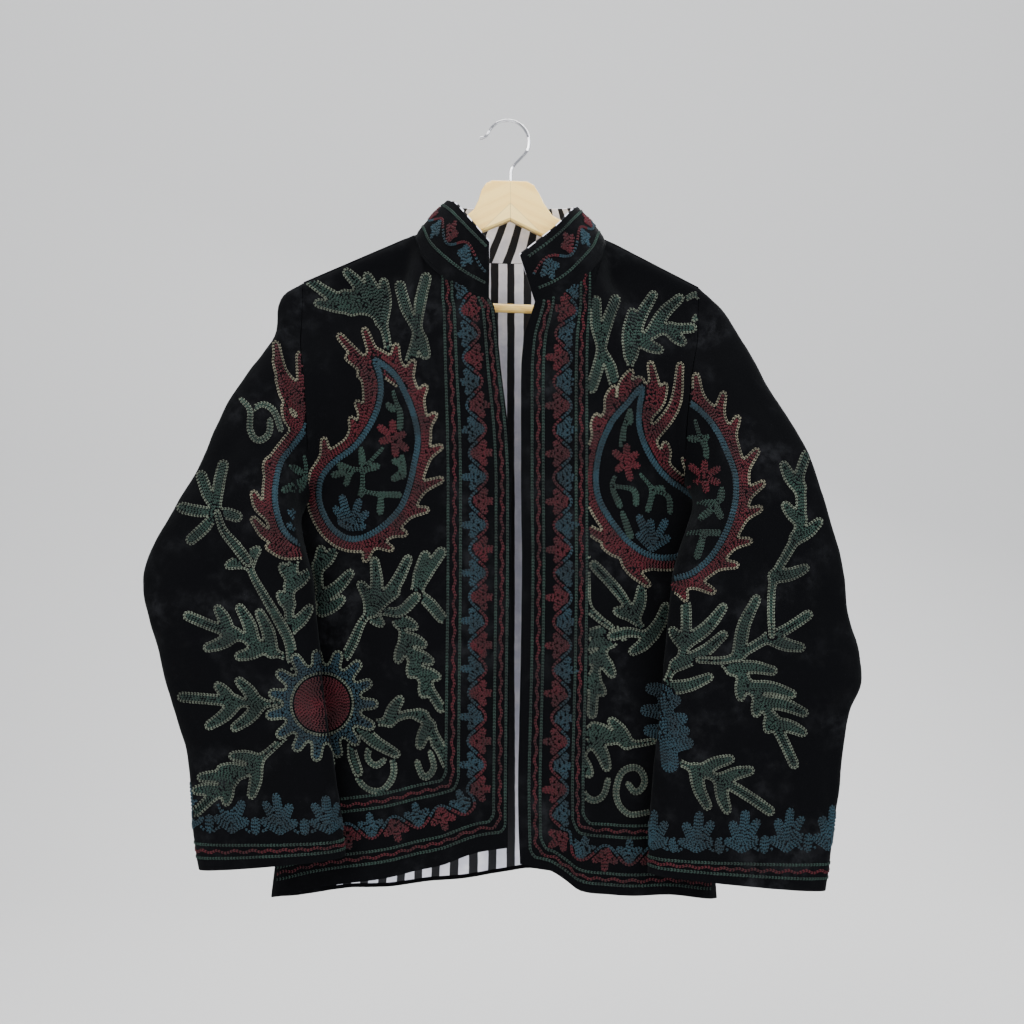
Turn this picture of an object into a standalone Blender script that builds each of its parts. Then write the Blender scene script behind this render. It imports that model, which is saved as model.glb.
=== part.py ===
"""Embroidered velvet jacket, open at the front, hanging on a flat wooden hanger.

The origin is the inside top of the hook's bend. +Z is up, the jacket's front faces -Y
and the wearer's right side is on -X. Every table is in millimetres, and the cloth is
worked out from them as walls: a middle surface given by its edges and depths, with
half the cloth's thickness on each side of it.
"""
import math
from collections import namedtuple

import bmesh
import bpy
import numpy as np

MM = 0.001

# cloth
VELVET = 2.0 * MM
LINING = 1.0 * MM
SEAM_GAP = 0.3 * MM
SEAM_LEAN = 0.65            # share of the thickness that two pieces keep apart at a full lean
FRONT_DEPTH = 52 * MM
BACK_DEPTH = 50 * MM
DEPTH_REACHED = 190 * MM    # drop below the shoulder at which the body is fully deep
ARM_HALF_DEPTH = 34 * MM    # half depth of the armhole
ARM_DEPTH_REACHED = 100 * MM
ARM_CLOSES_FROM = 0.55      # share of the armhole's height below which it narrows
ARM_CLOSING_POWER = 2.5
BESIDE_ARM_FROM = 0.25      # the body beside the armhole thins from this share of its height
BESIDE_ARM_SPAN = 0.85
ARM_EDGE_SHARE = 0.90       # the body follows the armhole's own depth beyond this share
NECK_SPREAD = 0.50          # how far the neck's fullness spreads sideways, as a share
NECK_SPREAD_DROP = 110 * MM
NECK_SAMPLES = 12
JUST_BELOW_NECK = 0.02      # panel row that gives the cloth's slope at the neck seam
BACK_CENTRE = 2 * MM        # across, of the back's middle line
WAVE_HEIGHT = 1.3 * MM      # slight unevenness of the hanging body
WAVES = (
    {"across": 21 * MM, "down": 34 * MM},
    {"across": -15 * MM, "down": 47 * MM},
)
UNDERARM_SHARE_CENTRE = 0.33
SHARP_DEGREES = 50

# hanger
WOOD_HALF = 7 * MM          # half the thickness of the flat wood
WOOD_EDGE = 6.6 * MM        # rounding of the arms' top edges
HEAD_EDGE = 3 * MM          # rounding at the head
HEAD_EDGE_SPAN = (30, 60)   # distance from the middle over which one turns into the other
WOOD_LOWER_EDGE = 2 * MM
WOOD_DROP = 2.0 * MM        # from the middle of the shoulder cloth down to the wood
SHOULDER_ROUND = WOOD_HALF + SEAM_GAP + VELVET / 2 + 0.1 * MM
BAR_RADIUS = 4.5 * MM
WIRE_RADIUS = 1.5 * MM
BEND_RADIUS = 21.5 * MM     # middle line of the hook's bend
BEND_CENTRE = (-0.5 * MM, -20 * MM)

EdgePoint = namedtuple("EdgePoint", "across height")
NeckPoint = namedtuple("NeckPoint", "across height depth")
SleeveSection = namedtuple(
    "SleeveSection", "outer_x outer_z outer_y inner_x inner_z inner_y half_depth"
)
CollarTop = namedtuple("CollarTop", "along across height depth")
PlanPoint = namedtuple("PlanPoint", "share fullness")
Fold = namedtuple("Fold", "across width lift starts full")
SleeveFold = namedtuple("SleeveFold", "section span around width lift face")
WoodPoint = namedtuple("WoodPoint", "across height")

# how full the body is in plan, from the front opening or the back's middle to the side
PLAN = (
    PlanPoint(0.00, 1.00),
    PlanPoint(0.50, 1.00),
    PlanPoint(0.62, 0.92),
    PlanPoint(0.74, 0.76),
    PlanPoint(0.84, 0.56),
    PlanPoint(0.92, 0.35),
    PlanPoint(0.97, 0.17),
    PlanPoint(1.00, 0.00),
)

# one half of the body: edges of its front and back, from the neck down
RIGHT = {
    "sign": -1,
    "tip": EdgePoint(-204, -162),
    "underarm": EdgePoint(-195.5, -378),
    "front_neck": (
        NeckPoint(-18.2, -183.4, 52),
        NeckPoint(-44.2, -172.0, 53),
        NeckPoint(-65.8, -156.4, 46),
        NeckPoint(-83.3, -136.8, 28),
        NeckPoint(-89.0, -120.0, 15),
        NeckPoint(-92.0, -114.0, 0),
    ),
    "back_neck": (
        NeckPoint(2.0, -132.6, 57),
        NeckPoint(-49.7, -131.7, 50),
        NeckPoint(-79.6, -122.8, 30),
        NeckPoint(-92.0, -114.0, 0),
    ),
    "opening": (
        EdgePoint(-18.2, -183.4),
        EdgePoint(-13.1, -192.1),
        EdgePoint(-9.5, -224.0),
        EdgePoint(-5.2, -265.5),
        EdgePoint(-0.2, -305.1),
        EdgePoint(2.6, -363.9),
        EdgePoint(2.6, -436.3),
        EdgePoint(1.7, -518.4),
        EdgePoint(0.8, -603.3),
        EdgePoint(-0.1, -714.4),
    ),
    "side": (
        EdgePoint(-204.0, -162),
        EdgePoint(-203.8, -217.5),
        EdgePoint(-200.1, -251.3),
        EdgePoint(-196.2, -323.6),
        EdgePoint(-195.5, -378),
        EdgePoint(-199.5, -388),
        EdgePoint(-205.0, -398),
        EdgePoint(-208.0, -412),
        EdgePoint(-209.5, -500),
        EdgePoint(-216.0, -600),
        EdgePoint(-227.0, -700),
        EdgePoint(-236.0, -775),
    ),
    "front_hem": (
        EdgePoint(-0.1, -714.4),
        EdgePoint(-36.5, -719.7),
        EdgePoint(-61.6, -729.8),
        EdgePoint(-100.3, -739.5),
        EdgePoint(-142.7, -747.2),
        EdgePoint(-181.6, -755.4),
        EdgePoint(-236.0, -775.0),
    ),
    "back_hem": (
        EdgePoint(2.0, -760.5),
        EdgePoint(-39.5, -766.6),
        EdgePoint(-107.7, -774.9),
        EdgePoint(-163.6, -776.9),
        EdgePoint(-212.9, -777.8),
        EdgePoint(-236.0, -775.0),
    ),
    "front_folds": (
        Fold(-122, 17, 4.5, -430, -740),
        Fold(-88, 14, -3.5, -470, -735),
        Fold(-45, 17, 3.0, -500, -735),
    ),
    "back_folds": (
        Fold(-168, 18, 5.0, -400, -760),
        Fold(-128, 15, -4.0, -430, -760),
        Fold(-86, 18, 6.0, -380, -760),
        Fold(-44, 15, -4.0, -440, -760),
    ),
}
LEFT = {
    "sign": 1,
    "tip": EdgePoint(190, -167),
    "underarm": EdgePoint(174, -361),
    "front_neck": (
        NeckPoint(26.2, -187.3, 52),
        NeckPoint(55.1, -176.8, 53),
        NeckPoint(77.7, -155.4, 46),
        NeckPoint(90.4, -137.8, 28),
        NeckPoint(94.4, -124.5, 15),
        NeckPoint(97.0, -119.0, 0),
    ),
    "back_neck": (
        NeckPoint(2.0, -132.6, 57),
        NeckPoint(48.4, -131.7, 50),
        NeckPoint(83.6, -124.8, 30),
        NeckPoint(97.0, -119.0, 0),
    ),
    "opening": (
        EdgePoint(26.2, -187.3),
        EdgePoint(21.4, -202.7),
        EdgePoint(14.6, -225.9),
        EdgePoint(12.7, -265.5),
        EdgePoint(12.7, -363.9),
        EdgePoint(13.6, -433.4),
        EdgePoint(12.7, -518.4),
        EdgePoint(10.8, -603.3),
        EdgePoint(9.8, -668.0),
        EdgePoint(11.7, -729.8),
    ),
    "side": (
        EdgePoint(190.0, -167),
        EdgePoint(186.3, -223.4),
        EdgePoint(179.8, -254.2),
        EdgePoint(174.2, -323.6),
        EdgePoint(174.0, -361),
        EdgePoint(178.0, -371),
        EdgePoint(183.0, -381),
        EdgePoint(185.5, -395),
        EdgePoint(187.0, -500),
        EdgePoint(193.0, -600),
        EdgePoint(202.0, -700),
        EdgePoint(208.0, -776),
    ),
    "front_hem": (
        EdgePoint(11.7, -729.8),
        EdgePoint(31.0, -733.7),
        EdgePoint(48.0, -739.5),
        EdgePoint(64.8, -752.9),
        EdgePoint(87.7, -757.8),
        EdgePoint(152.9, -762.2),
        EdgePoint(208.0, -776.0),
    ),
    "back_hem": (
        EdgePoint(2.0, -760.5),
        EdgePoint(20.5, -757.3),
        EdgePoint(95.0, -770.7),
        EdgePoint(160.0, -776.5),
        EdgePoint(208.0, -776.0),
    ),
    "front_folds": (
        Fold(52, 12, -3.5, -560, -740),
        Fold(76, 14, 4.5, -480, -740),
        Fold(122, 17, 3.0, -440, -740),
    ),
    "back_folds": (
        Fold(34, 15, -4.0, -450, -760),
        Fold(74, 18, 6.0, -380, -760),
        Fold(116, 15, -4.5, -430, -760),
        Fold(150, 17, 4.0, -410, -760),
    ),
}

# columns of a panel: shares of the neckline's width, then of the shoulder's
NECK_COLUMNS = (0, 0.18, 0.35, 0.52, 0.66, 0.78, 0.89, 0.96, 1)
SHOULDER_COLUMNS = (0.12, 0.27, 0.42, 0.56, 0.69, 0.80, 0.89, 0.955, 1)
# rows of a panel: 0 to 1 from the shoulder to the underarm, 1 to 2 on to the hem
PANEL_ROWS = (
    0, 0.0052, 0.0195, 0.039, 0.08, 0.16, 0.28, 0.42, 0.57, 0.72, 0.86, 0.95, 1,
    1.06, 1.18, 1.32, 1.48, 1.64, 1.79, 1.91, 2,
)
# places round half a sleeve, from its outer edge to its inner edge, each a panel row too
SLEEVE_STATIONS = (0, 0.0195, 0.08, 0.16, 0.28, 0.42, 0.57, 0.72, 0.86, 0.95, 1)
SLEEVE_ROUNDNESS = 2.6
SLEEVE_ROUND_FROM = 2       # section from which the sleeve no longer follows the armhole

RIGHT_SLEEVE = (
    SleeveSection(-205.0, -162.0, 0, -196.0, -378.0, 0, 34),
    SleeveSection(-223.2, -175.7, -5, -201.8, -386.5, -11, 34),
    SleeveSection(-229.1, -214.4, -12, -204.0, -397.0, -29, 31),
    SleeveSection(-252.5, -250.9, -20, -202.0, -411.0, -44, 29),
    SleeveSection(-274.7, -287.0, -28, -195.5, -428.0, -58, 26),
    SleeveSection(-298.6, -345.1, -36, -188.5, -450.0, -67, 25),
    SleeveSection(-323.6, -389.0, -42, -184.5, -479.0, -71, 24),
    SleeveSection(-346.9, -434.6, -46, -180.8, -513.0, -72, 24),
    SleeveSection(-350.8, -465.4, -50, -177.4, -552.0, -72, 24),
    SleeveSection(-337.3, -515.3, -54, -173.6, -585.0, -72, 24),
    SleeveSection(-322.3, -571.9, -56, -168.8, -614.0, -72, 23),
    SleeveSection(-308.4, -615.0, -58, -165.0, -641.1, -72, 22),
    SleeveSection(-302.7, -658.2, -58, -161.2, -664.9, -72, 21),
    SleeveSection(-301.7, -689.9, -58, -158.3, -690.7, -72, 20),
    SleeveSection(-295.9, -732.2, -58, -155.4, -717.5, -72, 20),
)
LEFT_SLEEVE = (
    SleeveSection(190.0, -167.0, 0, 174.0, -361.0, 0, 34),
    SleeveSection(213.3, -190.7, -5, 180.3, -369.5, -11, 34),
    SleeveSection(235.1, -229.3, -12, 182.5, -380.0, -29, 31),
    SleeveSection(258.6, -274.6, -20, 179.0, -394.0, -44, 29),
    SleeveSection(276.8, -304.6, -28, 171.0, -411.0, -58, 26),
    SleeveSection(290.5, -331.4, -36, 162.5, -434.0, -67, 25),
    SleeveSection(309.2, -391.0, -42, 156.5, -465.0, -71, 24),
    SleeveSection(323.9, -448.2, -46, 152.5, -503.0, -72, 24),
    SleeveSection(327.4, -490.5, -50, 149.1, -540.0, -72, 24),
    SleeveSection(337.8, -527.9, -54, 146.2, -568.0, -72, 24),
    SleeveSection(339.0, -554.7, -55, 144.3, -590.5, -72, 23),
    SleeveSection(328.9, -579.6, -56, 142.0, -611.0, -72, 22),
    SleeveSection(317.4, -653.4, -58, 137.7, -655.4, -72, 21),
    SleeveSection(313.0, -687.1, -58, 135.7, -691.7, -72, 20),
    SleeveSection(304.5, -752.4, -58, 133.8, -732.7, -72, 20),
)
RIGHT_SLEEVE_FOLDS = (
    SleeveFold(5.0, 3.4, 0.88, 0.07, 5.0, -1),
    SleeveFold(5.5, 2.8, 0.70, 0.08, -3.5, -1),
    SleeveFold(8.5, 2.5, 0.30, 0.10, 3.5, -1),
    SleeveFold(9.5, 2.5, 0.55, 0.10, -3.0, -1),
    SleeveFold(6.0, 3.0, 0.40, 0.10, 4.5, 1),
    SleeveFold(8.5, 3.0, 0.65, 0.10, -3.5, 1),
)
LEFT_SLEEVE_FOLDS = (
    SleeveFold(5.5, 3.2, 0.86, 0.07, 4.0, -1),
    SleeveFold(6.5, 2.6, 0.62, 0.09, -3.5, -1),
    SleeveFold(9.6, 1.4, 0.14, 0.07, 4.0, -1),
    SleeveFold(11.2, 1.3, 0.10, 0.06, -3.5, -1),
    SleeveFold(6.5, 3.0, 0.45, 0.10, 4.5, 1),
    SleeveFold(9.0, 3.0, 0.25, 0.10, -3.5, 1),
)

# upper edge of the standing collar, from its right front end round the back to its left
COLLAR_TOP = (
    CollarTop(0.00, -18.1, -128.5, -50),
    CollarTop(0.10, -41.6, -99.7, -38),
    CollarTop(0.17, -53.1, -85.0, -21),
    CollarTop(0.24, -61.0, -79.5, 0),
    CollarTop(0.33, -56.0, -81.8, 22),
    CollarTop(0.50, 2.0, -79.6, 45),
    CollarTop(0.66, 54.0, -82.1, 28),
    CollarTop(0.76, 69.0, -85.5, 0),
    CollarTop(0.83, 63.1, -92.5, -21),
    CollarTop(0.90, 50.7, -108.0, -38),
    CollarTop(1.00, 11.7, -141.5, -50),
)
COLLAR_ROWS = (0, 0.25, 0.5, 0.77, 1)
COLLAR_SWELL = 1.5 * MM     # how far the band swells outward half way up

# linings lie on the inside of a velvet grid, by its own columns and rows
LINED_NECK_COLUMNS = 7      # columns each side of the back's middle that reach the neck
LINED_BODY_COLUMNS = 12     # columns each side of it that are lined lower down
LINED_BODY_ROW = 6          # row below which the wider part starts
LINING_HEM_SHARE = 0.15     # of the last row's height, left bare above the hem
CUFF_LINED_ROWS = 3
CUFF_BARE_SHARE = 0.05
COLLAR_BARE_SHARES = {"base": 0.15, "top": 0.08, "ends": 0.2}
LINING_INSET = VELVET / 2 + SEAM_GAP + LINING / 2

# flat wood: upper edge of the head, lower edge of the arms, and the lobes at their ends
HEAD_TOP = (
    WoodPoint(-42.0, -94.2),
    WoodPoint(-34.0, -88.0),
    WoodPoint(-29.5, -79.0),
    WoodPoint(-26.5, -69.0),
    WoodPoint(-22.0, -62.0),
    WoodPoint(-16.0, -59.2),
    WoodPoint(19.0, -60.2),
    WoodPoint(26.0, -64.0),
    WoodPoint(31.0, -72.0),
    WoodPoint(36.0, -82.0),
    WoodPoint(44.0, -93.2),
)
LOWER_EDGE = (
    WoodPoint(-202.0, -183.5),
    WoodPoint(-171.0, -170.0),
    WoodPoint(-90.0, -136.5),
    WoodPoint(2.0, -98.8),
    WoodPoint(90.0, -142.2),
    WoodPoint(164.0, -180.0),
    WoodPoint(188.0, -191.0),
)
LOBES = (
    {"from": -202.0, "to": -170.3, "height": -191.5},
    {"from": 163.3, "to": 188.0, "height": -202.5},
)
WOOD_ENDS = (-202.0, 188.0)
WOOD_END_ROUNDING = 10 * MM
WOOD_END_HEIGHT_SHARE = 0.35
WOOD_END_WIDTH_SHARE = 0.5
WOOD_EDGE_SHARE_LIMIT = 0.94    # of half the width, which an edge's rounding may take up
WOOD_LOWER_SHARE_LIMIT = 0.5
WOOD_STATIONS = (
    -202, -201, -198, -192, -180, -170.6, -170, -130, -90, -60, -42, -34, -29.5, -26.5, -22,
    -16, 2, 19, 26, 31, 36, 44, 60, 90, 130, 163, 163.6, 172, 180, 184.5, 187.2, 188,
)
BAR_ENDS = (WoodPoint(-169.7, -180.2), WoodPoint(162.7, -192.2))
BAR_SIDES = 12

# hook: stem from the wood up to the bend, then the curl at its free end
HOOK_STEM = (
    WoodPoint(2.7, -59.0),
    WoodPoint(2.7, -53.0),
    WoodPoint(3.2, -48.0),
    WoodPoint(6.6, -42.6),
    WoodPoint(12.6, -36.4),
)
HOOK_BEND_DEGREES = (-24, 157)
HOOK_BEND_STEPS = 11
HOOK_CURL = (
    WoodPoint(-22.4, -14.4),
    WoodPoint(-25.2, -15.9),
    WoodPoint(-28.2, -16.2),
)
HOOK_STEPS_BETWEEN = 2

FINISHES = {
    "velvet": {"colour": (0.012, 0.013, 0.015), "roughness": 0.95, "metallic": 0.0},
    "lining": {"colour": (0.55, 0.55, 0.60), "roughness": 0.8, "metallic": 0.0},
    "wood": {"colour": (0.72, 0.53, 0.34), "roughness": 0.45, "metallic": 0.0},
    "steel": {"colour": (0.62, 0.62, 0.63), "roughness": 0.25, "metallic": 1.0},
}


def clear_scene():
    for old in list(bpy.data.objects):
        bpy.data.objects.remove(old, do_unlink=True)


def material(name):
    look = FINISHES[name]
    made = bpy.data.materials.new(name)
    made.use_nodes = True
    shader = made.node_tree.nodes["Principled BSDF"]
    shader.inputs["Base Color"].default_value = (*look["colour"], 1.0)
    shader.inputs["Roughness"].default_value = look["roughness"]
    shader.inputs["Metallic"].default_value = look["metallic"]
    return made


def ease(value):
    """Rise smoothly from 0 to 1 as value goes from 0 to 1."""
    value = min(max(value, 0.0), 1.0)
    return value * value * (3 - 2 * value)


def mix(start, end, share):
    return start + (end - start) * share


class Track:
    """A smooth line through a table's rows, read by one of its columns.

    It never overshoots its rows, and every column but the one that it is read by
    comes back in metres when the table is in millimetres.
    """

    def __init__(self, rows, along, unit=MM):
        ordered = sorted(rows, key=lambda row: getattr(row, along))
        self.unit = unit
        self.places = [getattr(row, along) for row in ordered]
        self.columns = {
            name: [getattr(row, name) for row in ordered] for name in ordered[0]._fields
        }

    def slope(self, values, index):
        last = len(values) - 1
        before = after = None
        if index > 0:
            step = self.places[index] - self.places[index - 1]
            before = (values[index] - values[index - 1]) / step
        if index < last:
            step = self.places[index + 1] - self.places[index]
            after = (values[index + 1] - values[index]) / step
        if before is None:
            return after
        if after is None:
            return before
        if before * after <= 0:
            return 0.0
        return 2 * before * after / (before + after)

    def read(self, name, place):
        values = self.columns[name]
        place = min(max(place, self.places[0]), self.places[-1])
        index = 0
        while index < len(self.places) - 2 and place > self.places[index + 1]:
            index += 1
        span = self.places[index + 1] - self.places[index]
        share = (place - self.places[index]) / span
        rise = values[index + 1] - values[index]
        start_slope = self.slope(values, index) * span
        end_slope = self.slope(values, index + 1) * span
        cubic = start_slope + end_slope - 2 * rise
        square = 3 * rise - 2 * start_slope - end_slope
        value = ((cubic * share + square) * share + start_slope) * share + values[index]
        return value * self.unit


def shoulder_drop(drop):
    """Depth of cloth that lies over the rounded arm of the hanger."""
    if drop >= SHOULDER_ROUND:
        return SHOULDER_ROUND
    rest = SHOULDER_ROUND - drop
    return math.sqrt(max(SHOULDER_ROUND**2 - rest**2, 0.0))


def armhole_depth(drop, row):
    """Half depth of the armhole at a drop below the shoulder tip."""
    growth = ease((drop - SHOULDER_ROUND) / (ARM_DEPTH_REACHED - SHOULDER_ROUND))
    depth = shoulder_drop(drop) + (ARM_HALF_DEPTH - SHOULDER_ROUND) * growth
    closing = min(max((row - ARM_CLOSES_FROM) / (1 - ARM_CLOSES_FROM), 0.0), 1.0)
    return depth * math.sqrt(max(1 - closing**ARM_CLOSING_POWER, 0.0))


def beside_arm(row):
    """Depth of the body beside the armhole, which falls away gently to the underarm."""
    return ARM_HALF_DEPTH * (1 - ease((row - BESIDE_ARM_FROM) / BESIDE_ARM_SPAN))


def waviness(across, height):
    """How far the cloth stands proud of an even surface, which it does in soft waves."""
    turns = [across / wave["across"] + height / wave["down"] for wave in WAVES]
    return WAVE_HEIGHT * sum(math.sin(turn) for turn in turns) / len(turns)


class HalfBody:
    """One half of the jacket's body, which gives any point of its front or back."""

    plan = Track(PLAN, "share", 1.0)

    def __init__(self, table):
        self.sign = table["sign"]
        self.tip = table["tip"]
        self.necks = {
            -1: Track(table["front_neck"], "across"),
            1: Track(table["back_neck"], "across"),
        }
        self.neck_point = table["front_neck"][-1]
        self.starts = {-1: table["front_neck"][0].across, 1: table["back_neck"][0].across}
        self.opening = Track(table["opening"], "height")
        self.side = Track(table["side"], "height")
        self.hems = {
            -1: Track(table["front_hem"], "across"),
            1: Track(table["back_hem"], "across"),
        }
        self.hem_starts = {-1: table["front_hem"][0].across, 1: table["back_hem"][0].across}
        self.hem_end = table["side"][-1]
        self.folds = {-1: table["front_folds"], 1: table["back_folds"]}
        whole = self.hem_end.height - self.tip.height
        self.underarm_share = (table["underarm"].height - self.tip.height) / whole

    def neck_share(self, face):
        start = self.starts[face]
        return (self.neck_point.across - start) / (self.tip.across - start)

    def columns(self, face):
        neck = self.neck_share(face)
        inner = [share * neck for share in NECK_COLUMNS]
        return inner + [mix(neck, 1.0, share) for share in SHOULDER_COLUMNS]

    def top(self, face, share):
        """Height and depth of the panel's upper edge, in metres."""
        across = mix(self.starts[face], self.tip.across, share)
        if share < self.neck_share(face) - 1e-6:
            neck = self.necks[face]
            return neck.read("height", across), neck.read("depth", across)
        along = (across - self.neck_point.across) / (self.tip.across - self.neck_point.across)
        return mix(self.neck_point.height, self.tip.height, along) * MM, 0.0

    def height(self, face, share, row):
        underarm = mix(UNDERARM_SHARE_CENTRE, self.underarm_share, share)
        down = underarm * row if row <= 1 else mix(underarm, 1.0, row - 1)
        top = self.top(face, share)[0]
        hem_across = mix(self.hem_starts[face], self.hem_end.across, share)
        hem = self.hems[face].read("height", hem_across)
        return mix(top, hem, down)

    def neck_depth(self, face, share, drop):
        """Depth of the neckline, averaged over a stretch that widens further down."""
        reach = NECK_SPREAD * ease(drop / NECK_SPREAD_DROP)
        places = [max(share - reach * step / NECK_SAMPLES, 0.0) for step in range(NECK_SAMPLES + 1)]
        return sum(self.top(face, place)[1] for place in places) / len(places)

    def point(self, face, share, row):
        top = self.top(face, share)[0]
        height = self.height(face, share, row)
        drop = max(top - height, 0.0)
        neck_depth = self.neck_depth(face, share, drop)
        inner = BACK_CENTRE
        if face < 0:
            inner = self.opening.read("across", self.height(face, 0.0, row) / MM)
        outer = self.side.read("across", self.height(face, 1.0, row) / MM)
        across = mix(inner, outer, share)
        full = FRONT_DEPTH if face < 0 else BACK_DEPTH
        rim = math.hypot(neck_depth, shoulder_drop(drop))
        growth = ease((drop - SHOULDER_ROUND) / (DEPTH_REACHED - SHOULDER_ROUND))
        middle = mix(rim, full, growth)
        arm = armhole_depth(drop, row) if row < 1 else 0.0
        inner_arm = min(beside_arm(row), middle)
        arm = mix(inner_arm, arm, ease((share - ARM_EDGE_SHARE) / (1 - ARM_EDGE_SHARE)))
        fullness = self.plan.read("fullness", share)
        depth = mix(arm, middle, fullness) + waviness(across, height) * growth * fullness
        for fold in self.folds[face]:
            near = math.exp(-(((across / MM - fold.across) / fold.width) ** 2))
            grown = ease((fold.starts - height / MM) / (fold.starts - fold.full))
            depth += fold.lift * MM * near * grown
        depth = max(depth, SEAM_GAP / 2)
        return np.array((across, face * depth, height))


def grid_normals(points, closed=False):
    """Unit normals of a grid of points, from the lines to each point's neighbours."""
    if closed:
        around = np.roll(points, -1, axis=1) - np.roll(points, 1, axis=1)
    else:
        around = np.gradient(points, axis=1)
    along = np.gradient(points, axis=0)
    normals = np.cross(around, along)
    return normals / np.linalg.norm(normals, axis=2, keepdims=True)


def flatten(normals, axis):
    """Turn normals into the plane square to an axis, so that two rims stay parallel."""
    normals[..., axis] = 0.0
    normals /= np.linalg.norm(normals, axis=-1, keepdims=True)


def wall(name, points, normals, thickness, finish, closed=False, kept=None):
    """Make a closed wall of even thickness on both sides of a grid of points.

    kept, where it is given, says which cells of the grid have cloth.
    """
    rows, columns = points.shape[:2]
    cells = columns if closed else columns - 1
    if kept is None:
        kept = np.ones((rows - 1, cells), dtype=bool)
    model = bmesh.new()
    skins = []
    for side in (0.5, -0.5):
        skin = points + normals * (thickness * side)
        skins.append([[model.verts.new(place) for place in row] for row in skin])
    outer, inner = skins
    rims = {}
    for row, column in zip(*np.nonzero(kept)):
        after = (column + 1) % columns
        corners = [(row, column), (row, after), (row + 1, after), (row + 1, column)]
        for half in (corners[:3], (corners[0], corners[2], corners[3])):
            model.faces.new([outer[y][x] for y, x in half])
            model.faces.new([inner[y][x] for y, x in reversed(half)])
        for start, end in zip(corners, corners[1:] + corners[:1]):
            if (end, start) in rims:
                del rims[(end, start)]
            else:
                rims[(start, end)] = True
    for (top, left), (bottom, right) in rims:
        model.faces.new(
            (outer[bottom][right], outer[top][left], inner[top][left], inner[bottom][right])
        )
    bare = [corner for corner in model.verts if not corner.link_faces]
    bmesh.ops.delete(model, geom=bare, context="VERTS")
    finish_object(name, model, finish)


def finish_object(name, model, finish):
    bmesh.ops.recalc_face_normals(model, faces=model.faces)
    mesh = bpy.data.meshes.new(name)
    model.to_mesh(mesh)
    model.free()
    mesh.shade_smooth()
    mesh.set_sharp_from_angle(angle=math.radians(SHARP_DEGREES))
    mesh.materials.append(finish)
    made = bpy.data.objects.new(name, mesh)
    bpy.context.collection.objects.link(made)


def front_grid(half):
    shares = half.columns(-1)
    points = np.array([[half.point(-1, share, row) for share in shares] for row in PANEL_ROWS])
    normals = grid_normals(points)
    if half.sign > 0:
        normals = -normals
    flatten(normals[0, len(NECK_COLUMNS) - 1 :], 1)
    flatten(normals[PANEL_ROWS.index(1) :, -1], 1)
    return points, -normals


def back_grid(right, left):
    columns = [(right, share) for share in reversed(right.columns(1))]
    columns += [(left, share) for share in left.columns(1)[1:]]
    points = np.array(
        [[half.point(1, share, row) for half, share in columns] for row in PANEL_ROWS]
    )
    normals = grid_normals(points)
    shoulder = len(SHOULDER_COLUMNS) + 1
    flatten(normals[0, :shoulder], 1)
    flatten(normals[0, -shoulder:], 1)
    flatten(normals[PANEL_ROWS.index(1) :, 0], 1)
    flatten(normals[PANEL_ROWS.index(1) :, -1], 1)
    return points, normals


def sleeve_ring(shape, section, half, edge_slant):
    """Points round a sleeve at one section: down its front, then up its back."""
    outer = np.array((shape.outer_x, shape.outer_y, shape.outer_z)) * MM
    inner = np.array((shape.inner_x, shape.inner_y, shape.inner_z)) * MM
    chord = (outer - inner) / np.linalg.norm(outer - inner)
    backward = np.array((0.0, 1.0, 0.0)) - chord * chord[1]
    backward /= np.linalg.norm(backward)
    rounded = min(section / SLEEVE_ROUND_FROM, 1.0)
    ring = []
    stations = [(station, -1) for station in SLEEVE_STATIONS]
    stations += [(station, 1) for station in reversed(SLEEVE_STATIONS[1:-1])]
    for station, face in stations:
        profile = (1 - abs(1 - 2 * station) ** SLEEVE_ROUNDNESS) ** (1 / SLEEVE_ROUNDNESS)
        height = abs(outer[2] - inner[2])
        at_armhole = armhole_depth(station * height, station) / ARM_HALF_DEPTH
        depth = shape.half_depth * MM * mix(at_armhole, profile, rounded)
        place = mix(outer, inner, station) + backward * (face * depth)
        if section == 0:
            place[0] = half.side.read("across", place[2] / MM)
            slant = np.interp(station, edge_slant["rows"], edge_slant[face])
            place[0] += half.sign * (SEAM_GAP + VELVET * SEAM_LEAN * slant)
        ring.append(place)
    return ring


def fold_sleeve(points, normals, folds):
    count = len(SLEEVE_STATIONS)
    stations = list(SLEEVE_STATIONS) + list(reversed(SLEEVE_STATIONS[1:-1]))
    for section in range(len(points)):
        for column, station in enumerate(stations):
            face = -1 if column < count else 1
            for fold in folds:
                if fold.face != face:
                    continue
                around = math.exp(-(((station - fold.around) / fold.width) ** 2))
                along = ease(1 - abs(section - fold.section) / fold.span)
                points[section, column] += normals[section, column] * (fold.lift * MM * around * along)


def sleeve_grid(table, half, folds, edge_slant):
    rings = [sleeve_ring(row, index, half, edge_slant) for index, row in enumerate(table)]
    points = np.array(rings)
    fold_sleeve(points, grid_normals(points, closed=True) * half.sign, folds)
    normals = grid_normals(points, closed=True) * half.sign
    flatten(normals[0], 0)
    return points, normals


def neck_walk(right, left):
    """Places along the neck seam, from the right front end round to the left one."""
    walk = []
    for half, face, shares in (
        (right, -1, NECK_COLUMNS),
        (right, 1, NECK_COLUMNS[-2::-1]),
        (left, 1, NECK_COLUMNS[1:]),
        (left, -1, NECK_COLUMNS[-2::-1]),
    ):
        for share in shares:
            walk.append((half, face, share * half.neck_share(face)))
    return walk


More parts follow.
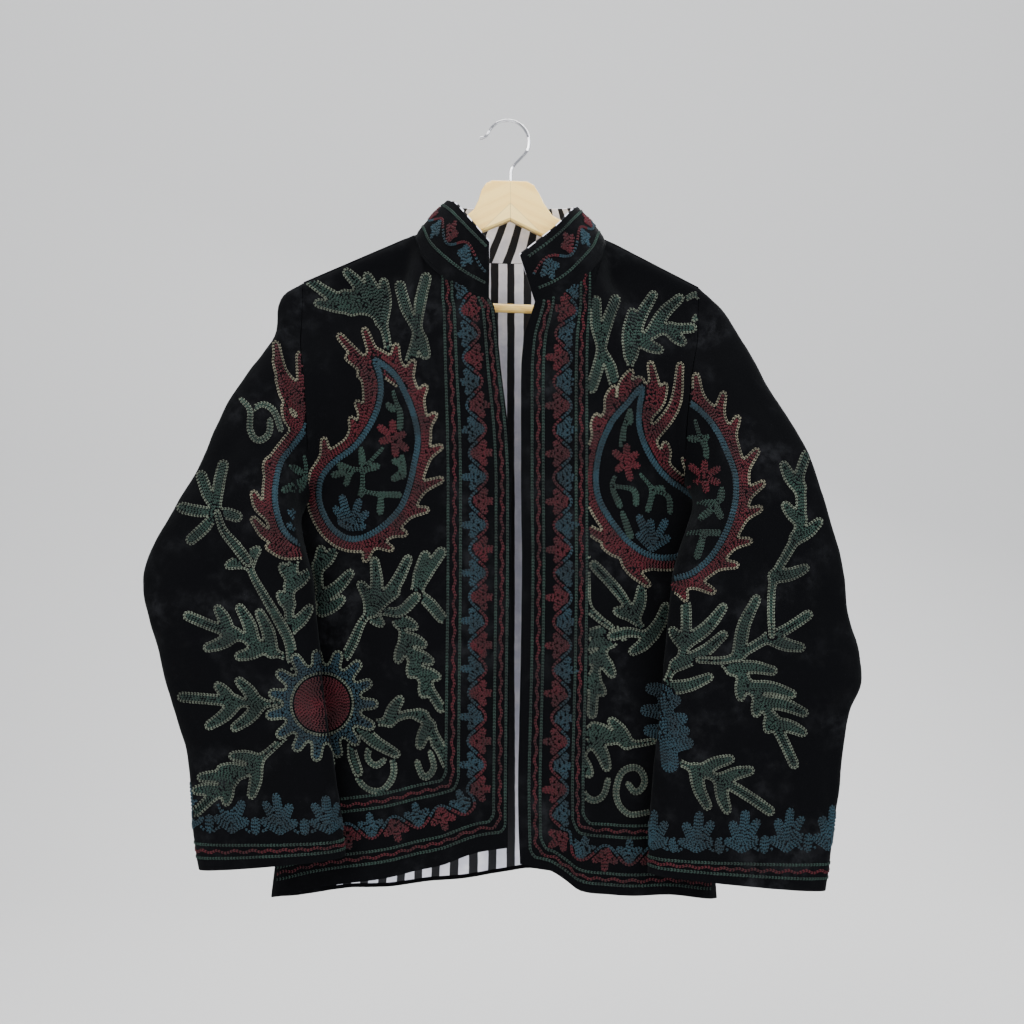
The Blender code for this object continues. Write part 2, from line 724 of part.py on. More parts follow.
def collar_grid(right, left):
    walk = neck_walk(right, left)
    base = np.array([half.point(face, share, 0.0) for half, face, share in walk])
    below = np.array([half.point(face, share, JUST_BELOW_NECK) for half, face, share in walk])
    steps = np.linalg.norm(np.diff(base, axis=0), axis=1)
    along = np.concatenate(([0.0], np.cumsum(steps))) / steps.sum()
    top_edge = Track(COLLAR_TOP, "along")
    top = np.array(
        [[top_edge.read(name, place) for name in ("across", "depth", "height")] for place in along]
    )
    seam = np.gradient(base, axis=0)
    panel_normals = np.cross(seam, below - base)
    panel_normals /= np.linalg.norm(panel_normals, axis=1, keepdims=True)
    up = top - base
    length = np.linalg.norm(up, axis=1, keepdims=True)
    up /= length
    tilt = np.abs((panel_normals * up).sum(axis=1, keepdims=True))
    lift = SEAM_GAP + VELVET * SEAM_LEAN * tilt
    start = base + up * lift
    outward = np.cross(up, seam)
    outward /= np.linalg.norm(outward, axis=1, keepdims=True)
    rows = []
    for height in COLLAR_ROWS:
        swell = COLLAR_SWELL * math.sin(math.pi * height)
        rows.append(start + up * ((length - lift) * height) + outward * swell)
    points = np.array(rows)
    return points, -grid_normals(points)


def inside(points, normals):
    """A lining's grid, moved in from the velvet that it lies on."""
    return points - normals * LINING_INSET


def line_back(points, normals, finish):
    """Line the back where it shows: at the neck, down the middle and at the hem."""
    middle = points.shape[1] // 2
    points = points.copy()
    points[-1] = mix(points[-1], points[-2], LINING_HEM_SHARE)
    kept = np.zeros((points.shape[0] - 1, points.shape[1] - 1), dtype=bool)
    kept[1:, middle - LINED_NECK_COLUMNS : middle + LINED_NECK_COLUMNS] = True
    wide = slice(middle - LINED_BODY_COLUMNS, middle + LINED_BODY_COLUMNS)
    kept[LINED_BODY_ROW:, wide] = True
    wall("back_lining", inside(points, normals), normals, LINING, finish, kept=kept)


def line_collar(points, normals, finish):
    points = points.copy()
    bare = COLLAR_BARE_SHARES
    points[0] = mix(points[0], points[1], bare["base"])
    points[-1] = mix(points[-1], points[-2], bare["top"])
    points[:, 0] = mix(points[:, 0], points[:, 1], bare["ends"])
    points[:, -1] = mix(points[:, -1], points[:, -2], bare["ends"])
    wall("collar_lining", inside(points, normals), normals, LINING, finish)


def line_cuff(name, points, normals, finish):
    points = points[-CUFF_LINED_ROWS:].copy()
    normals = normals[-CUFF_LINED_ROWS:]
    points[-1] = mix(points[-1], points[-2], CUFF_BARE_SHARE)
    wall("cuff_lining_" + name, inside(points, normals), normals, LINING, finish, closed=True)


def wood_top(across, right, left):
    """Height of the wood's upper edge, just under the shoulder cloth."""
    first, last = HEAD_TOP[0].across, HEAD_TOP[-1].across
    if first < across < last:
        return Track(HEAD_TOP, "across").read("height", across)
    half = right if across < 0 else left
    start, tip = half.neck_point, half.tip
    along = (across - start.across) / (tip.across - start.across)
    return mix(start.height, tip.height, along) * MM - WOOD_DROP


def wood_bottom(across):
    for lobe in LOBES:
        if lobe["from"] <= across <= lobe["to"]:
            return lobe["height"] * MM
    return float(
        np.interp(
            across, [row.across for row in LOWER_EDGE], [row.height for row in LOWER_EDGE]
        )
    ) * MM


def wood_section(across, right, left):
    """Outline of the wood, square to its length, as (depth, height) pairs."""
    top = wood_top(across, right, left)
    bottom = wood_bottom(across)
    from_end = min(across - WOOD_ENDS[0], WOOD_ENDS[1] - across) * MM
    closing = min(from_end / WOOD_END_ROUNDING, 1.0)
    kept = math.sqrt(1 - (1 - closing) ** 2)
    middle = (top + bottom) / 2
    half_height = (top - bottom) / 2
    half_height = mix(half_height * WOOD_END_HEIGHT_SHARE, half_height, kept)
    half_width = mix(WOOD_HALF * WOOD_END_WIDTH_SHARE, WOOD_HALF, kept)
    turn_from, turn_to = HEAD_EDGE_SPAN
    edge = mix(HEAD_EDGE, WOOD_EDGE, ease((abs(across) - turn_from) / (turn_to - turn_from)))
    edge = min(edge, half_width * WOOD_EDGE_SHARE_LIMIT)
    lower = min(WOOD_LOWER_EDGE, half_width * WOOD_LOWER_SHARE_LIMIT)
    outline = []
    for degrees in (0, 30, 60, 90):
        angle = math.radians(degrees)
        outline.append(
            (
                half_width - edge + edge * math.cos(angle),
                middle + half_height - edge + edge * math.sin(angle),
            )
        )
    outline += [(-depth, height) for depth, height in reversed(outline)]
    outline += [
        (-half_width, middle - half_height + lower),
        (-half_width + lower, middle - half_height),
        (half_width - lower, middle - half_height),
        (half_width, middle - half_height + lower),
    ]
    return outline


def make_wood(right, left, finish):
    model = bmesh.new()
    rings = []
    for across in WOOD_STATIONS:
        outline = wood_section(across, right, left)
        rings.append([model.verts.new((across * MM, y, z)) for y, z in outline])
    for before, after in zip(rings, rings[1:]):
        for index in range(len(before)):
            following = (index + 1) % len(before)
            model.faces.new(
                (before[index], before[following], after[following], after[index])
            )
    model.faces.new(rings[0])
    model.faces.new(rings[-1])
    bmesh.ops.triangulate(model, faces=model.faces)
    finish_object("hanger_wood", model, finish)


def make_bar(finish):
    start, end = BAR_ENDS
    model = bmesh.new()
    rings = []
    for place in (start, end):
        ring = []
        for index in range(BAR_SIDES):
            angle = 2 * math.pi * index / BAR_SIDES
            depth = BAR_RADIUS * math.cos(angle)
            height = place.height * MM + BAR_RADIUS * math.sin(angle)
            ring.append(model.verts.new((place.across * MM, depth, height)))
        rings.append(ring)
    bmesh.ops.bridge_loops(
        model,
        edges=[
            model.edges.new((ring[index], ring[(index + 1) % BAR_SIDES]))
            for ring in rings
            for index in range(BAR_SIDES)
        ],
    )
    for ring in rings:
        model.faces.new(ring)
    finish_object("hanger_bar", model, finish)


def hook_route():
    """Middle line of the wire, smoothed through the stem, the bend and the curl."""
    start, end = HOOK_BEND_DEGREES
    knots = [(row.across * MM, row.height * MM) for row in HOOK_STEM]
    for step in range(HOOK_BEND_STEPS):
        angle = math.radians(mix(start, end, step / (HOOK_BEND_STEPS - 1)))
        knots.append(
            (
                BEND_CENTRE[0] + BEND_RADIUS * math.cos(angle),
                BEND_CENTRE[1] + BEND_RADIUS * math.sin(angle),
            )
        )
    knots += [(row.across * MM, row.height * MM) for row in HOOK_CURL]
    knots = np.array(knots)
    ends = np.concatenate((knots[:1], knots, knots[-1:]))
    route = []
    for index in range(1, len(ends) - 2):
        before, here, there, after = ends[index - 1 : index + 3]
        for step in range(HOOK_STEPS_BETWEEN):
            share = step / HOOK_STEPS_BETWEEN
            route.append(
                0.5
                * (
                    2 * here
                    + (there - before) * share
                    + (2 * before - 5 * here + 4 * there - after) * share**2
                    + (3 * here - before - 3 * there + after) * share**3
                )
            )
    route.append(knots[-1])
    return route


def make_hook(finish):
    curve = bpy.data.curves.new("hanger_hook", "CURVE")
    curve.dimensions = "3D"
    curve.bevel_depth = WIRE_RADIUS
    curve.bevel_resolution = 2
    curve.use_fill_caps = True
    route = hook_route()
    spline = curve.splines.new("POLY")
    spline.points.add(len(route) - 1)
    for knot, (across, height) in zip(spline.points, route):
        knot.co = (across, 0.0, height, 1.0)
    curve.materials.append(finish)
    made = bpy.data.objects.new("hanger_hook", curve)
    bpy.context.collection.objects.link(made)


def make_jacket(velvet, lining):
    right, left = HalfBody(RIGHT), HalfBody(LEFT)
    back_points, back_normals = back_grid(right, left)
    wall("back", back_points, back_normals, VELVET, velvet)
    for half, name, table, folds, edge in (
        (right, "right", RIGHT_SLEEVE, RIGHT_SLEEVE_FOLDS, 0),
        (left, "left", LEFT_SLEEVE, LEFT_SLEEVE_FOLDS, -1),
    ):
        points, normals = front_grid(half)
        wall("front_" + name, points, normals, VELVET, velvet)
        upper = PANEL_ROWS.index(1) + 1
        edge_slant = {
            "rows": PANEL_ROWS[:upper],
            -1: np.abs(normals[:upper, -1, 0]),
            1: np.abs(back_normals[:upper, edge, 0]),
        }
        points, normals = sleeve_grid(table, half, folds, edge_slant)
        wall("sleeve_" + name, points, normals, VELVET, velvet, closed=True)
        line_cuff(name, points, normals, lining)
    points, normals = collar_grid(right, left)
    wall("collar", points, normals, VELVET, velvet)
    line_collar(points, normals, lining)
    line_back(back_points, back_normals, lining)
    return right, left


def main():
    clear_scene()
    wood = material("wood")
    right, left = make_jacket(material("velvet"), material("lining"))
    make_wood(right, left, wood)
    make_bar(wood)
    make_hook(material("steel"))


main()
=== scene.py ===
import math

import bmesh
import bpy
import numpy as np
from mathutils import Matrix, Vector
from mathutils.bvhtree import BVHTree


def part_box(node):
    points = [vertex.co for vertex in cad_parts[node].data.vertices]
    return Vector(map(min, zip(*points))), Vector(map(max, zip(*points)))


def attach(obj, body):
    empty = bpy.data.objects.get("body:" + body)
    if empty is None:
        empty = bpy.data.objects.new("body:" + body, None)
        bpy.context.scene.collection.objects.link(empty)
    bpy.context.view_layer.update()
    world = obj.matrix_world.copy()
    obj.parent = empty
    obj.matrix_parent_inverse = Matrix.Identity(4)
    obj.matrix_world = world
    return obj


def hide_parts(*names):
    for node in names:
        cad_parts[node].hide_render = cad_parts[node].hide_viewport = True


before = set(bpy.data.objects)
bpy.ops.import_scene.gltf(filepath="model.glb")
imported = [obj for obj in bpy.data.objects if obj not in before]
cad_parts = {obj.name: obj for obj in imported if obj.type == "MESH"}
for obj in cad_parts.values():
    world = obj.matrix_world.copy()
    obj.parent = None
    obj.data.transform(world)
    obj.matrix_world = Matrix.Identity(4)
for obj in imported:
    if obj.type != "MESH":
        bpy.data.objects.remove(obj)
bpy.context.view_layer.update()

mm = 0.001


# the camera and the photograph's frame
view = {
    "place": (0.004, -1.5, -0.390),
    "lens": 52.73,
    "sensor": 36.0,
    "pixels": 1024,
}


def addCamera():
    data = bpy.data.cameras.new("camera")
    data.lens = view["lens"]
    data.sensor_width = view["sensor"]
    data.clip_start = 0.05
    data.clip_end = 20
    camera = bpy.data.objects.new("camera", data)
    camera.location = view["place"]
    camera.rotation_euler = (math.pi / 2, 0, 0)
    bpy.context.collection.objects.link(camera)
    bpy.context.scene.camera = camera


# from a place in the photograph to the direction that the camera sees it in
def sightLine(px, py):
    half = view["pixels"] / 2
    spread = view["sensor"] / view["lens"] / view["pixels"]
    return Vector(((px - half) * spread, 1.0, -(py - half) * spread)).normalized()


# a shader socket that takes Python's arithmetic
class Wire:
    def __init__(self, tree, socket=None):
        self.tree = tree
        self.socket = socket

    # any node: its settings are set first, then its inputs' values or links
    def node(self, kind, settings=None, inputs=None, output=0):
        made = self.tree.nodes.new(kind)
        for name, value in (settings or {}).items():
            setattr(made, name, value)
        for key, value in (inputs or {}).items():
            if isinstance(value, Wire):
                self.tree.links.new(value.socket, made.inputs[key])
            else:
                made.inputs[key].default_value = value
        return Wire(self.tree, made.outputs[output])

    def maths(self, operation, first, second=0.0):
        values = {0: first, 1: second}
        return self.node("ShaderNodeMath", {"operation": operation}, values)

    def __add__(self, other):
        return self.maths("ADD", self, other)

    def __radd__(self, other):
        return self.maths("ADD", other, self)

    def __sub__(self, other):
        return self.maths("SUBTRACT", self, other)

    def __rsub__(self, other):
        return self.maths("SUBTRACT", other, self)

    def __mul__(self, other):
        return self.maths("MULTIPLY", self, other)

    def __rmul__(self, other):
        return self.maths("MULTIPLY", other, self)

    def __truediv__(self, other):
        return self.maths("DIVIDE", self, other)

    # 0 below low and 1 above high, smooth between them
    def step(self, low, high):
        settings = {"interpolation_type": "SMOOTHSTEP"}
        inputs = {"Value": self, "From Min": low, "From Max": high, "To Min": 0.0, "To Max": 1.0}
        return self.node("ShaderNodeMapRange", settings, inputs)

    def blend(self, start, end):
        inputs = {"Factor": self, 6: start, 7: end}
        return self.node("ShaderNodeMix", {"data_type": "RGBA"}, inputs, output=2)

    def noise(self, scale, detail, roughness=0.55):
        inputs = {"Vector": self, "Scale": scale, "Detail": detail, "Roughness": roughness}
        return self.node("ShaderNodeTexNoise", None, inputs)

    def bump(self, strength, distance, normal=None):
        inputs = {"Strength": strength, "Distance": distance, "Height": self}
        if normal is not None:
            inputs["Normal"] = normal
        return self.node("ShaderNodeBump", None, inputs)


# a new material, its shader and a wire to start from
def startMaterial(name, constants):
    made = bpy.data.materials.new(name)
    made.use_nodes = True
    shader = made.node_tree.nodes["Principled BSDF"]
    for socket, value in constants.items():
        shader.inputs[socket].default_value = value
    return made, shader, Wire(made.node_tree)


def feed(shader, socket, wire):
    wire.tree.links.new(wire.socket, shader.inputs[socket])


velvetLook = {
    "dark": (0.0016, 0.0017, 0.0022, 1),
    # the second colour is painted sheen on patches of crushed nap
    "paintedSheen": (0.0095, 0.0100, 0.0115, 1),
    "mottleScale": 16.0,
    "crushScale": 75.0,
    "napScale": 900.0,
    "napHeight": 0.0005,
    "crushHeight": 0.0012,
}


def velvetMaterial():
    look = velvetLook
    made, shader, start = startMaterial("velvet cloth", {
        "Roughness": 0.95,
        "Specular IOR Level": 0.04,
        "Sheen Weight": 0.028,
        "Sheen Roughness": 0.42,
        "Sheen Tint": (0.52, 0.58, 0.60, 1),
    })
    place = start.node("ShaderNodeTexCoord", output=3)
    mottle = place.noise(look["mottleScale"], 4.0, 0.62).step(0.46, 0.74)
    crush = place.noise(look["crushScale"], 5.0, 0.65)
    nap = place.noise(look["napScale"], 2.0, 0.6)
    # lighter patches where the mottle and crush noises are high: painted sheen of the crushed nap, blended
    # into the base colour
    paintedSheen = mottle * crush.step(0.36, 0.68) * (0.55 + nap * 0.9)
    feed(shader, "Base Color", paintedSheen.blend(look["dark"], look["paintedSheen"]))
    crushed = crush.bump(0.55, look["crushHeight"])
    feed(shader, "Normal", nap.bump(0.6, look["napHeight"], crushed))
    return made


liningLook = {
    "white": (0.93, 0.92, 0.98, 1),
    "shaded": (0.70, 0.70, 0.80, 1),
    "black": (0.010, 0.010, 0.012, 1),
    "period": 17.6 * mm,
    "whiteShare": 0.54,
    "shift": 0.0047,
    "collarSlant": 0.32,
    "weaveScale": 1500.0,
}


# cotton with woven stripes, which run down the cloth by its own measure across; its white has painted shade
# in the rumples
def liningMaterial(name, shift, slant):
    look = liningLook
    made, shader, start = startMaterial(name, {
        "Roughness": 0.82,
        "Specular IOR Level": 0.25,
        "Sheen Weight": 0.05,
    })
    flat = start.node("ShaderNodeUVMap", {"uv_map": "cut"})
    across = start.node("ShaderNodeSeparateXYZ", None, {0: flat}, 0)
    across = across + start.node("ShaderNodeSeparateXYZ", None, {0: flat}, 1) * slant
    place = start.node("ShaderNodeTexCoord", output=3)
    wander = (place.noise(60.0, 2.0) - 0.5) * 0.0012
    share = start.maths("FRACT", (across + shift + wander) / look["period"])
    rise = share.step(0.0, 0.035)
    fall = share.step(look["whiteShare"], look["whiteShare"] + 0.035)
    white = rise * (1.0 - fall)
    # the white turns to the shaded lavender where the rumple noise is low, in the troughs of the crease
    # bump: painted shade
    rumple = place.noise(48.0, 4.0, 0.6)
    whiteWithPaintedShade = rumple.step(0.35, 0.75).blend(look["shaded"], look["white"])
    feed(shader, "Base Color", white.blend(look["black"], whiteWithPaintedShade))
    weave = place.noise(look["weaveScale"], 1.0)
    creased = rumple.bump(0.8, 0.0025)
    feed(shader, "Normal", weave.bump(0.25, 0.0002, creased))
    return made


threadColours = {
    "sage": (0.076, 0.090, 0.067, 1),
    "beige": (0.120, 0.112, 0.078, 1),
    "green": (0.0085, 0.0250, 0.0185, 1),
    "red": (0.046, 0.0004, 0.0040, 1),
    "blue": (0.0060, 0.0240, 0.0350, 1),
}


# wool thread, a little lighter and darker along its way and fuzzy in its fibres
def threadMaterial(name, colour):
    made, shader, start = startMaterial("wool thread " + name, {
        "Roughness": 0.78,
        "Specular IOR Level": 0.3,
        "Sheen Weight": 0.04,
        "Sheen Roughness": 0.5,
    })
    place = start.node("ShaderNodeTexCoord", output=3)
    patches = place.noise(34.0, 3.0, 0.6).step(0.3, 0.72)
    fibres = place.noise(820.0, 2.0, 0.6)
    shade = (patches * 0.55 + fibres * 0.45).step(0.15, 0.85)
    dark = tuple(0.55 * part for part in colour[:3]) + (1,)
    light = tuple(min(1.45 * part, 1.0) for part in colour[:3]) + (1,)
    feed(shader, "Base Color", shade.blend(dark, light))
    feed(shader, "Normal", fibres.bump(0.5, 0.0003))
    return made


woodLook = {
    "pale": (1.0, 0.70, 0.20, 1),
    "grain": (0.88, 0.54, 0.12, 1),
    "broad": (0.94, 0.61, 0.16, 1),
    "knot": (0.50, 0.25, 0.06, 1),
    # the facet's lighter colour is a painted highlight
    "facet": (1.0, 0.77, 0.28, 1),
    "joint": (0.34, 0.20, 0.10, 1),
    "middle": 0.0025,
    "facetTop": -0.0825,
    "facetSlope": 0.96,
}


# beech, with its grain along each arm and a mitred joint down the middle of the head; a facet of the head
# has a painted highlight, and its edge a line of painted shade
def woodMaterial():
    look = woodLook
    made, shader, start = startMaterial("beech", {
        "Roughness": 0.42,
        "Coat Weight": 0.25,
        "Coat Roughness": 0.3,
    })
    place = start.node("ShaderNodeTexCoord", output=3)
    across = start.node("ShaderNodeSeparateXYZ", None, {0: place}, 0)
    height = start.node("ShaderNodeSeparateXYZ", None, {0: place}, 2)
    depth = start.node("ShaderNodeSeparateXYZ", None, {0: place}, 1)
    away = start.maths("ABSOLUTE", across - look["middle"])
    level = height + away * 0.46                     # the grain follows the slope of an arm
    along = start.node("ShaderNodeCombineXYZ", None, {0: away * 5.0, 1: depth * 30.0, 2: level * 95.0})
    streaks = along.noise(1.6, 5.0, 0.65)
    broad = along.noise(0.45, 3.0, 0.5)
    tone = streaks.step(0.34, 0.72).blend(look["pale"], look["grain"])
    tone = broad.step(0.42, 0.70).blend(tone, look["broad"])
    pores = start.node("ShaderNodeCombineXYZ", None, {0: away * 60.0, 1: depth * 200.0, 2: level * 700.0})
    fleck = pores.noise(2.2, 2.0).step(0.66, 0.74)
    tone = (fleck * 0.5).blend(tone, look["knot"])
    joint = 1.0 - away.step(0.00015, 0.00055)
    # below the facet line the head is painted lighter: a painted highlight on the facet
    head = height.step(-0.112, -0.108)
    overFacet = height + away * look["facetSlope"] - look["facetTop"]
    facet = 1.0 - overFacet.step(-0.0006, 0.0006)
    tone = (facet * head * 0.6).blend(tone, look["facet"])
    # a dark line along the facet's edge: painted shade
    crease = start.maths("ABSOLUTE", overFacet).step(0.0003, 0.0009)
    tone = ((1.0 - crease) * head * 0.35).blend(tone, look["joint"])
    tone = (joint * head * (0.35 + facet * 0.4)).blend(tone, look["joint"])
    feed(shader, "Base Color", tone)
    feed(shader, "Normal", streaks.bump(0.15, 0.0003))
    return made


def steelMaterial():
    made, shader, start = startMaterial("plated wire", {
        "Metallic": 1.0,
        "Base Color": (0.62, 0.62, 0.64, 1),
    })
    place = start.node("ShaderNodeTexCoord", output=3)
    rubbed = place.noise(260.0, 4.0)
    feed(shader, "Roughness", 0.13 + rubbed.step(0.45, 0.8) * 0.22)
    feed(shader, "Normal", rubbed.bump(0.08, 0.0002))
    return made


# cloth shells on the solids' own form
clothSettings = {
    "velvetThickness": 2.0 * mm,
    "liningGap": 0.3 * mm,
    "liningThickness": 1.0 * mm,
    "cell": 4.6 * mm,
    "seamFade": 14 * mm,        # creases die out this close to a seam
    "rumple": 0.45 * mm,
    "sharpTurn": (0.90, 0.80),  # cosines: a turn starts to count as a corner, and is one
    "liningPeek": 1.8 * mm,     # the collar's lining above its velvet
    "tuck": 3.0 * mm,           # seam allowance under the neighbouring piece
    "tuckDepth": 0.6 * mm,
}


# The outer skin of a cloth node as rows and columns of points. The node is a grid of cells,
# each cut into two triangles along the same diagonal, so a neighbour's third corner is found
# by walking over the shared edge.
def readGrid(node, columns, facing, closed):
    shape = bmesh.new()
    shape.from_mesh(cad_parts[node].data)
    bmesh.ops.remove_doubles(shape, verts=shape.verts, dist=1e-6)
    skins = splitSkins(shape)
    skins.sort(key=lambda skin: -sum(face.calc_area() for face in skin))
    skin = skins[0]
    if facing != 0:
        skin = max(skins[:2], key=lambda one: facing * sum(face.normal.y for face in one))
    places, found = None, None
    for first in sorted(skin, key=squareness)[:30]:
        spots = walkLattice(skin, first)
        found = orderLattice(np.array(list(spots.values())), columns, closed)
        if found is not None:
            places = np.array([corner.co[:] for corner in spots])
            break
    if places is None:
        raise RuntimeError(f"{node}: its skin isn't a grid of {columns} columns")
    shape.free()
    grid = np.zeros((found[:, 0].max() + 1, columns, 3))
    grid[found[:, 0], found[:, 1]] = places
    if grid[0, :, 2].mean() < grid[-1, :, 2].mean():
        grid = grid[::-1]
    if closed:
        grid = np.roll(grid, -int(np.argmax(grid[0, :, 2])), axis=1)
        middle = len(grid) // 2
        if grid[middle, columns // 4, 1] > grid[middle, 3 * columns // 4, 1]:
            grid = np.roll(grid[:, ::-1], 1, axis=1)
    elif grid[0, 0, 0] > grid[0, -1, 0]:
        grid = grid[:, ::-1]
    return grid.copy()


# rows and columns from a lattice's own numbers, or None where the walk went askew
def orderLattice(found, columns, closed):
    found = found - found.min(axis=0)
    for turned in (False, True):
        spots = found[:, ::-1].copy() if turned else found.copy()
        if closed:
            spots[:, 1] %= columns
        rows = spots[:, 0].max() + 1
        whole = rows * columns == len(spots) == len(np.unique(spots, axis=0))
        if whole and spots[:, 1].max() + 1 == columns:
            return spots
    return None


# the two skins of a wall: every triangle of its rims has an edge as long as the wall is thick
def splitSkins(shape):
    thickness = clothSettings["velvetThickness"]
    near = 0.004 * mm
    rim = {
        face for face in shape.faces
        if any(abs(edge.calc_length() - thickness) < near for edge in face.edges)
    }
    skins, seen = [], set(rim)
    for start in shape.faces:
        if start in seen:
            continue
        seen.add(start)
        skin = [start]
        for face in skin:
            for edge in face.edges:
                for other in edge.link_faces:
                    if other not in seen:
                        seen.add(other)
                        skin.append(other)
        skins.append(skin)
    return skins


def walkLattice(skin, first):
    inSkin = set(skin)
    lattice = {first: seedLattice(first)}
    queue = [first]
    for face in queue:
        spots = lattice[face]
        for edge in face.edges:
            for other in edge.link_faces:
                if other in lattice or other not in inSkin:
                    continue
                start, end = edge.verts
                third = next(corner for corner in face.verts if corner not in edge.verts)
                new = next(corner for corner in other.verts if corner not in edge.verts)
                spot = tuple(spots[start][i] + spots[end][i] - spots[third][i] for i in (0, 1))
                lattice[other] = {start: spots[start], end: spots[end], new: spot}
                queue.append(other)
    found = {}
    for face in queue:
        for corner, spot in lattice[face].items():
            found.setdefault(corner, spot)
    return found


# how far a triangle is from a right-angled one
def squareness(face):
    sides = sorted(edge.calc_length() ** 2 for edge in face.edges)
    return abs(sides[2] / (sides[0] + sides[1]) - 1)


def seedLattice(face):
    longest = max(face.edges, key=lambda edge: edge.calc_length())
    corners = list(face.verts)
    turn = next(i for i, corner in enumerate(corners) if corner not in longest.verts)
    return {corners[turn - 1]: (0, 0), corners[turn]: (0, 1), corners[(turn + 1) % 3]: (1, 1)}


# A grid read more finely along one axis, on a smooth curve through its points. With corners,
# a border that turns sharply at a point keeps its corner, so that pieces sewn together meet.
def refine(grid, axis, cell, closed, corners):
    grid = np.moveaxis(grid, axis, 0)
    if closed:
        grid = np.concatenate((grid, grid[:1]))
    steps = np.linalg.norm(np.diff(grid, axis=0), axis=-1)
    gaps = steps.reshape(len(steps), -1).mean(axis=1)
    knots = np.concatenate(([0.0], np.cumsum(gaps)))
    count = max(int(round(knots[-1] / cell)), 1)
    wanted = np.linspace(0, knots[-1], count + 1)
    slopes = np.diff(grid, axis=0) / gaps[:, None, None]
    inner = slopes[:-1] * gaps[1:, None, None] + slopes[1:] * gaps[:-1, None, None]
    inner /= (gaps[:-1] + gaps[1:])[:, None, None]
    if closed:
        join = (slopes[-1] * gaps[0] + slopes[0] * gaps[-1]) / (gaps[0] + gaps[-1])
        tangents = np.concatenate((join[None], inner, join[None]))
    else:
        tangents = np.concatenate((slopes[:1], inner, slopes[-1:]))
    leaving, arriving = tangents.copy(), tangents.copy()
    if corners:
        unit = slopes / np.linalg.norm(slopes, axis=-1, keepdims=True)
        bend = (unit[:-1] * unit[1:]).sum(axis=-1, keepdims=True)
        starts, whole = clothSettings["sharpTurn"]
        sharp = np.clip((starts - bend) / (starts - whole), 0, 1)
        sharp[:, 1:-1] = 0
        leaving[1:-1] += (slopes[1:] - inner) * sharp
        arriving[1:-1] += (slopes[:-1] - inner) * sharp
    index = np.clip(np.searchsorted(knots, wanted, side="right") - 1, 0, len(gaps) - 1)
    span = gaps[index][:, None, None]
    share = ((wanted - knots[index]) / gaps[index])[:, None, None]
    start, end = grid[index], grid[index + 1]
    fine = (
        (2 * share**3 - 3 * share**2 + 1) * start
        + (share**3 - 2 * share**2 + share) * span * leaving[index]
        + (3 * share**2 - 2 * share**3) * end
        + (share**3 - share**2) * span * arriving[index + 1]
    )
    if closed:
        fine = fine[:-1]
    return np.moveaxis(fine, 0, axis)


def normalsOf(grid, closed):
    if closed:
        around = np.roll(grid, -1, axis=1) - np.roll(grid, 1, axis=1)
    else:
        around = np.gradient(grid, axis=1)
    normals = np.cross(around, np.gradient(grid, axis=0))
    return normals / np.linalg.norm(normals, axis=2, keepdims=True)


# a soft trough or ridge along a line, deepest in its middle and fading to both ends
def creaseHeights(grid, creases):
    x, z = grid[..., 0] / mm, grid[..., 2] / mm
    heights = np.zeros(x.shape)
    for startX, startZ, endX, endZ, width, height in creases:
        lineX, lineZ = endX - startX, endZ - startZ
        length = math.hypot(lineX, lineZ)
        along = ((x - startX) * lineX + (z - startZ) * lineZ) / length**2
        bend = 0.06 * length * np.sin(along * math.pi + startX)
        beside = ((x - startX) * lineZ - (z - startZ) * lineX) / length + bend
        fade = np.sin(np.clip(along, 0, 1) * math.pi) ** 0.7
        heights += height * fade * np.exp(-((beside / width) ** 2))
    return heights * mm


# slight unevenness of hanging cloth
def rumple(grid, height, seed):
    x, z = grid[..., 0], grid[..., 2]
    chance = np.random.default_rng(seed)
    total = np.zeros(x.shape)
    for wave in (0.055, 0.034, 0.022, 0.015):
        turn, shift = chance.uniform(0, math.tau, 2)
        way = x * math.cos(turn) + z * math.sin(turn)
        other = x * math.sin(turn) - z * math.cos(turn)
        wobble = 0.25 * wave * np.sin(math.tau * other / (wave * 2.7) + shift)
        total += (wave / 0.055) ** 0.8 * np.sin(math.tau * (way + wobble) / wave + shift)
    return total * height / 2


# 1 inside the piece and 0 at its seams; open edges such as hems aren't held
def heldEdges(grid, seams):
    fade = np.ones(grid.shape[:2])
    reach = clothSettings["seamFade"]
    lengths = {
        "top": np.cumsum(np.linalg.norm(np.diff(grid, axis=0, prepend=grid[:1]), axis=2), axis=0),
        "left": np.cumsum(np.linalg.norm(np.diff(grid, axis=1, prepend=grid[:, :1]), axis=2), axis=1),
    }
    lengths["right"] = lengths["left"][:, -1:] - lengths["left"]
    lengths["bottom"] = lengths["top"][-1:] - lengths["top"]
    for seam in seams:
        share = np.clip(lengths[seam] / reach, 0, 1)
        fade *= share**2 * (3 - 2 * share)
    return fade


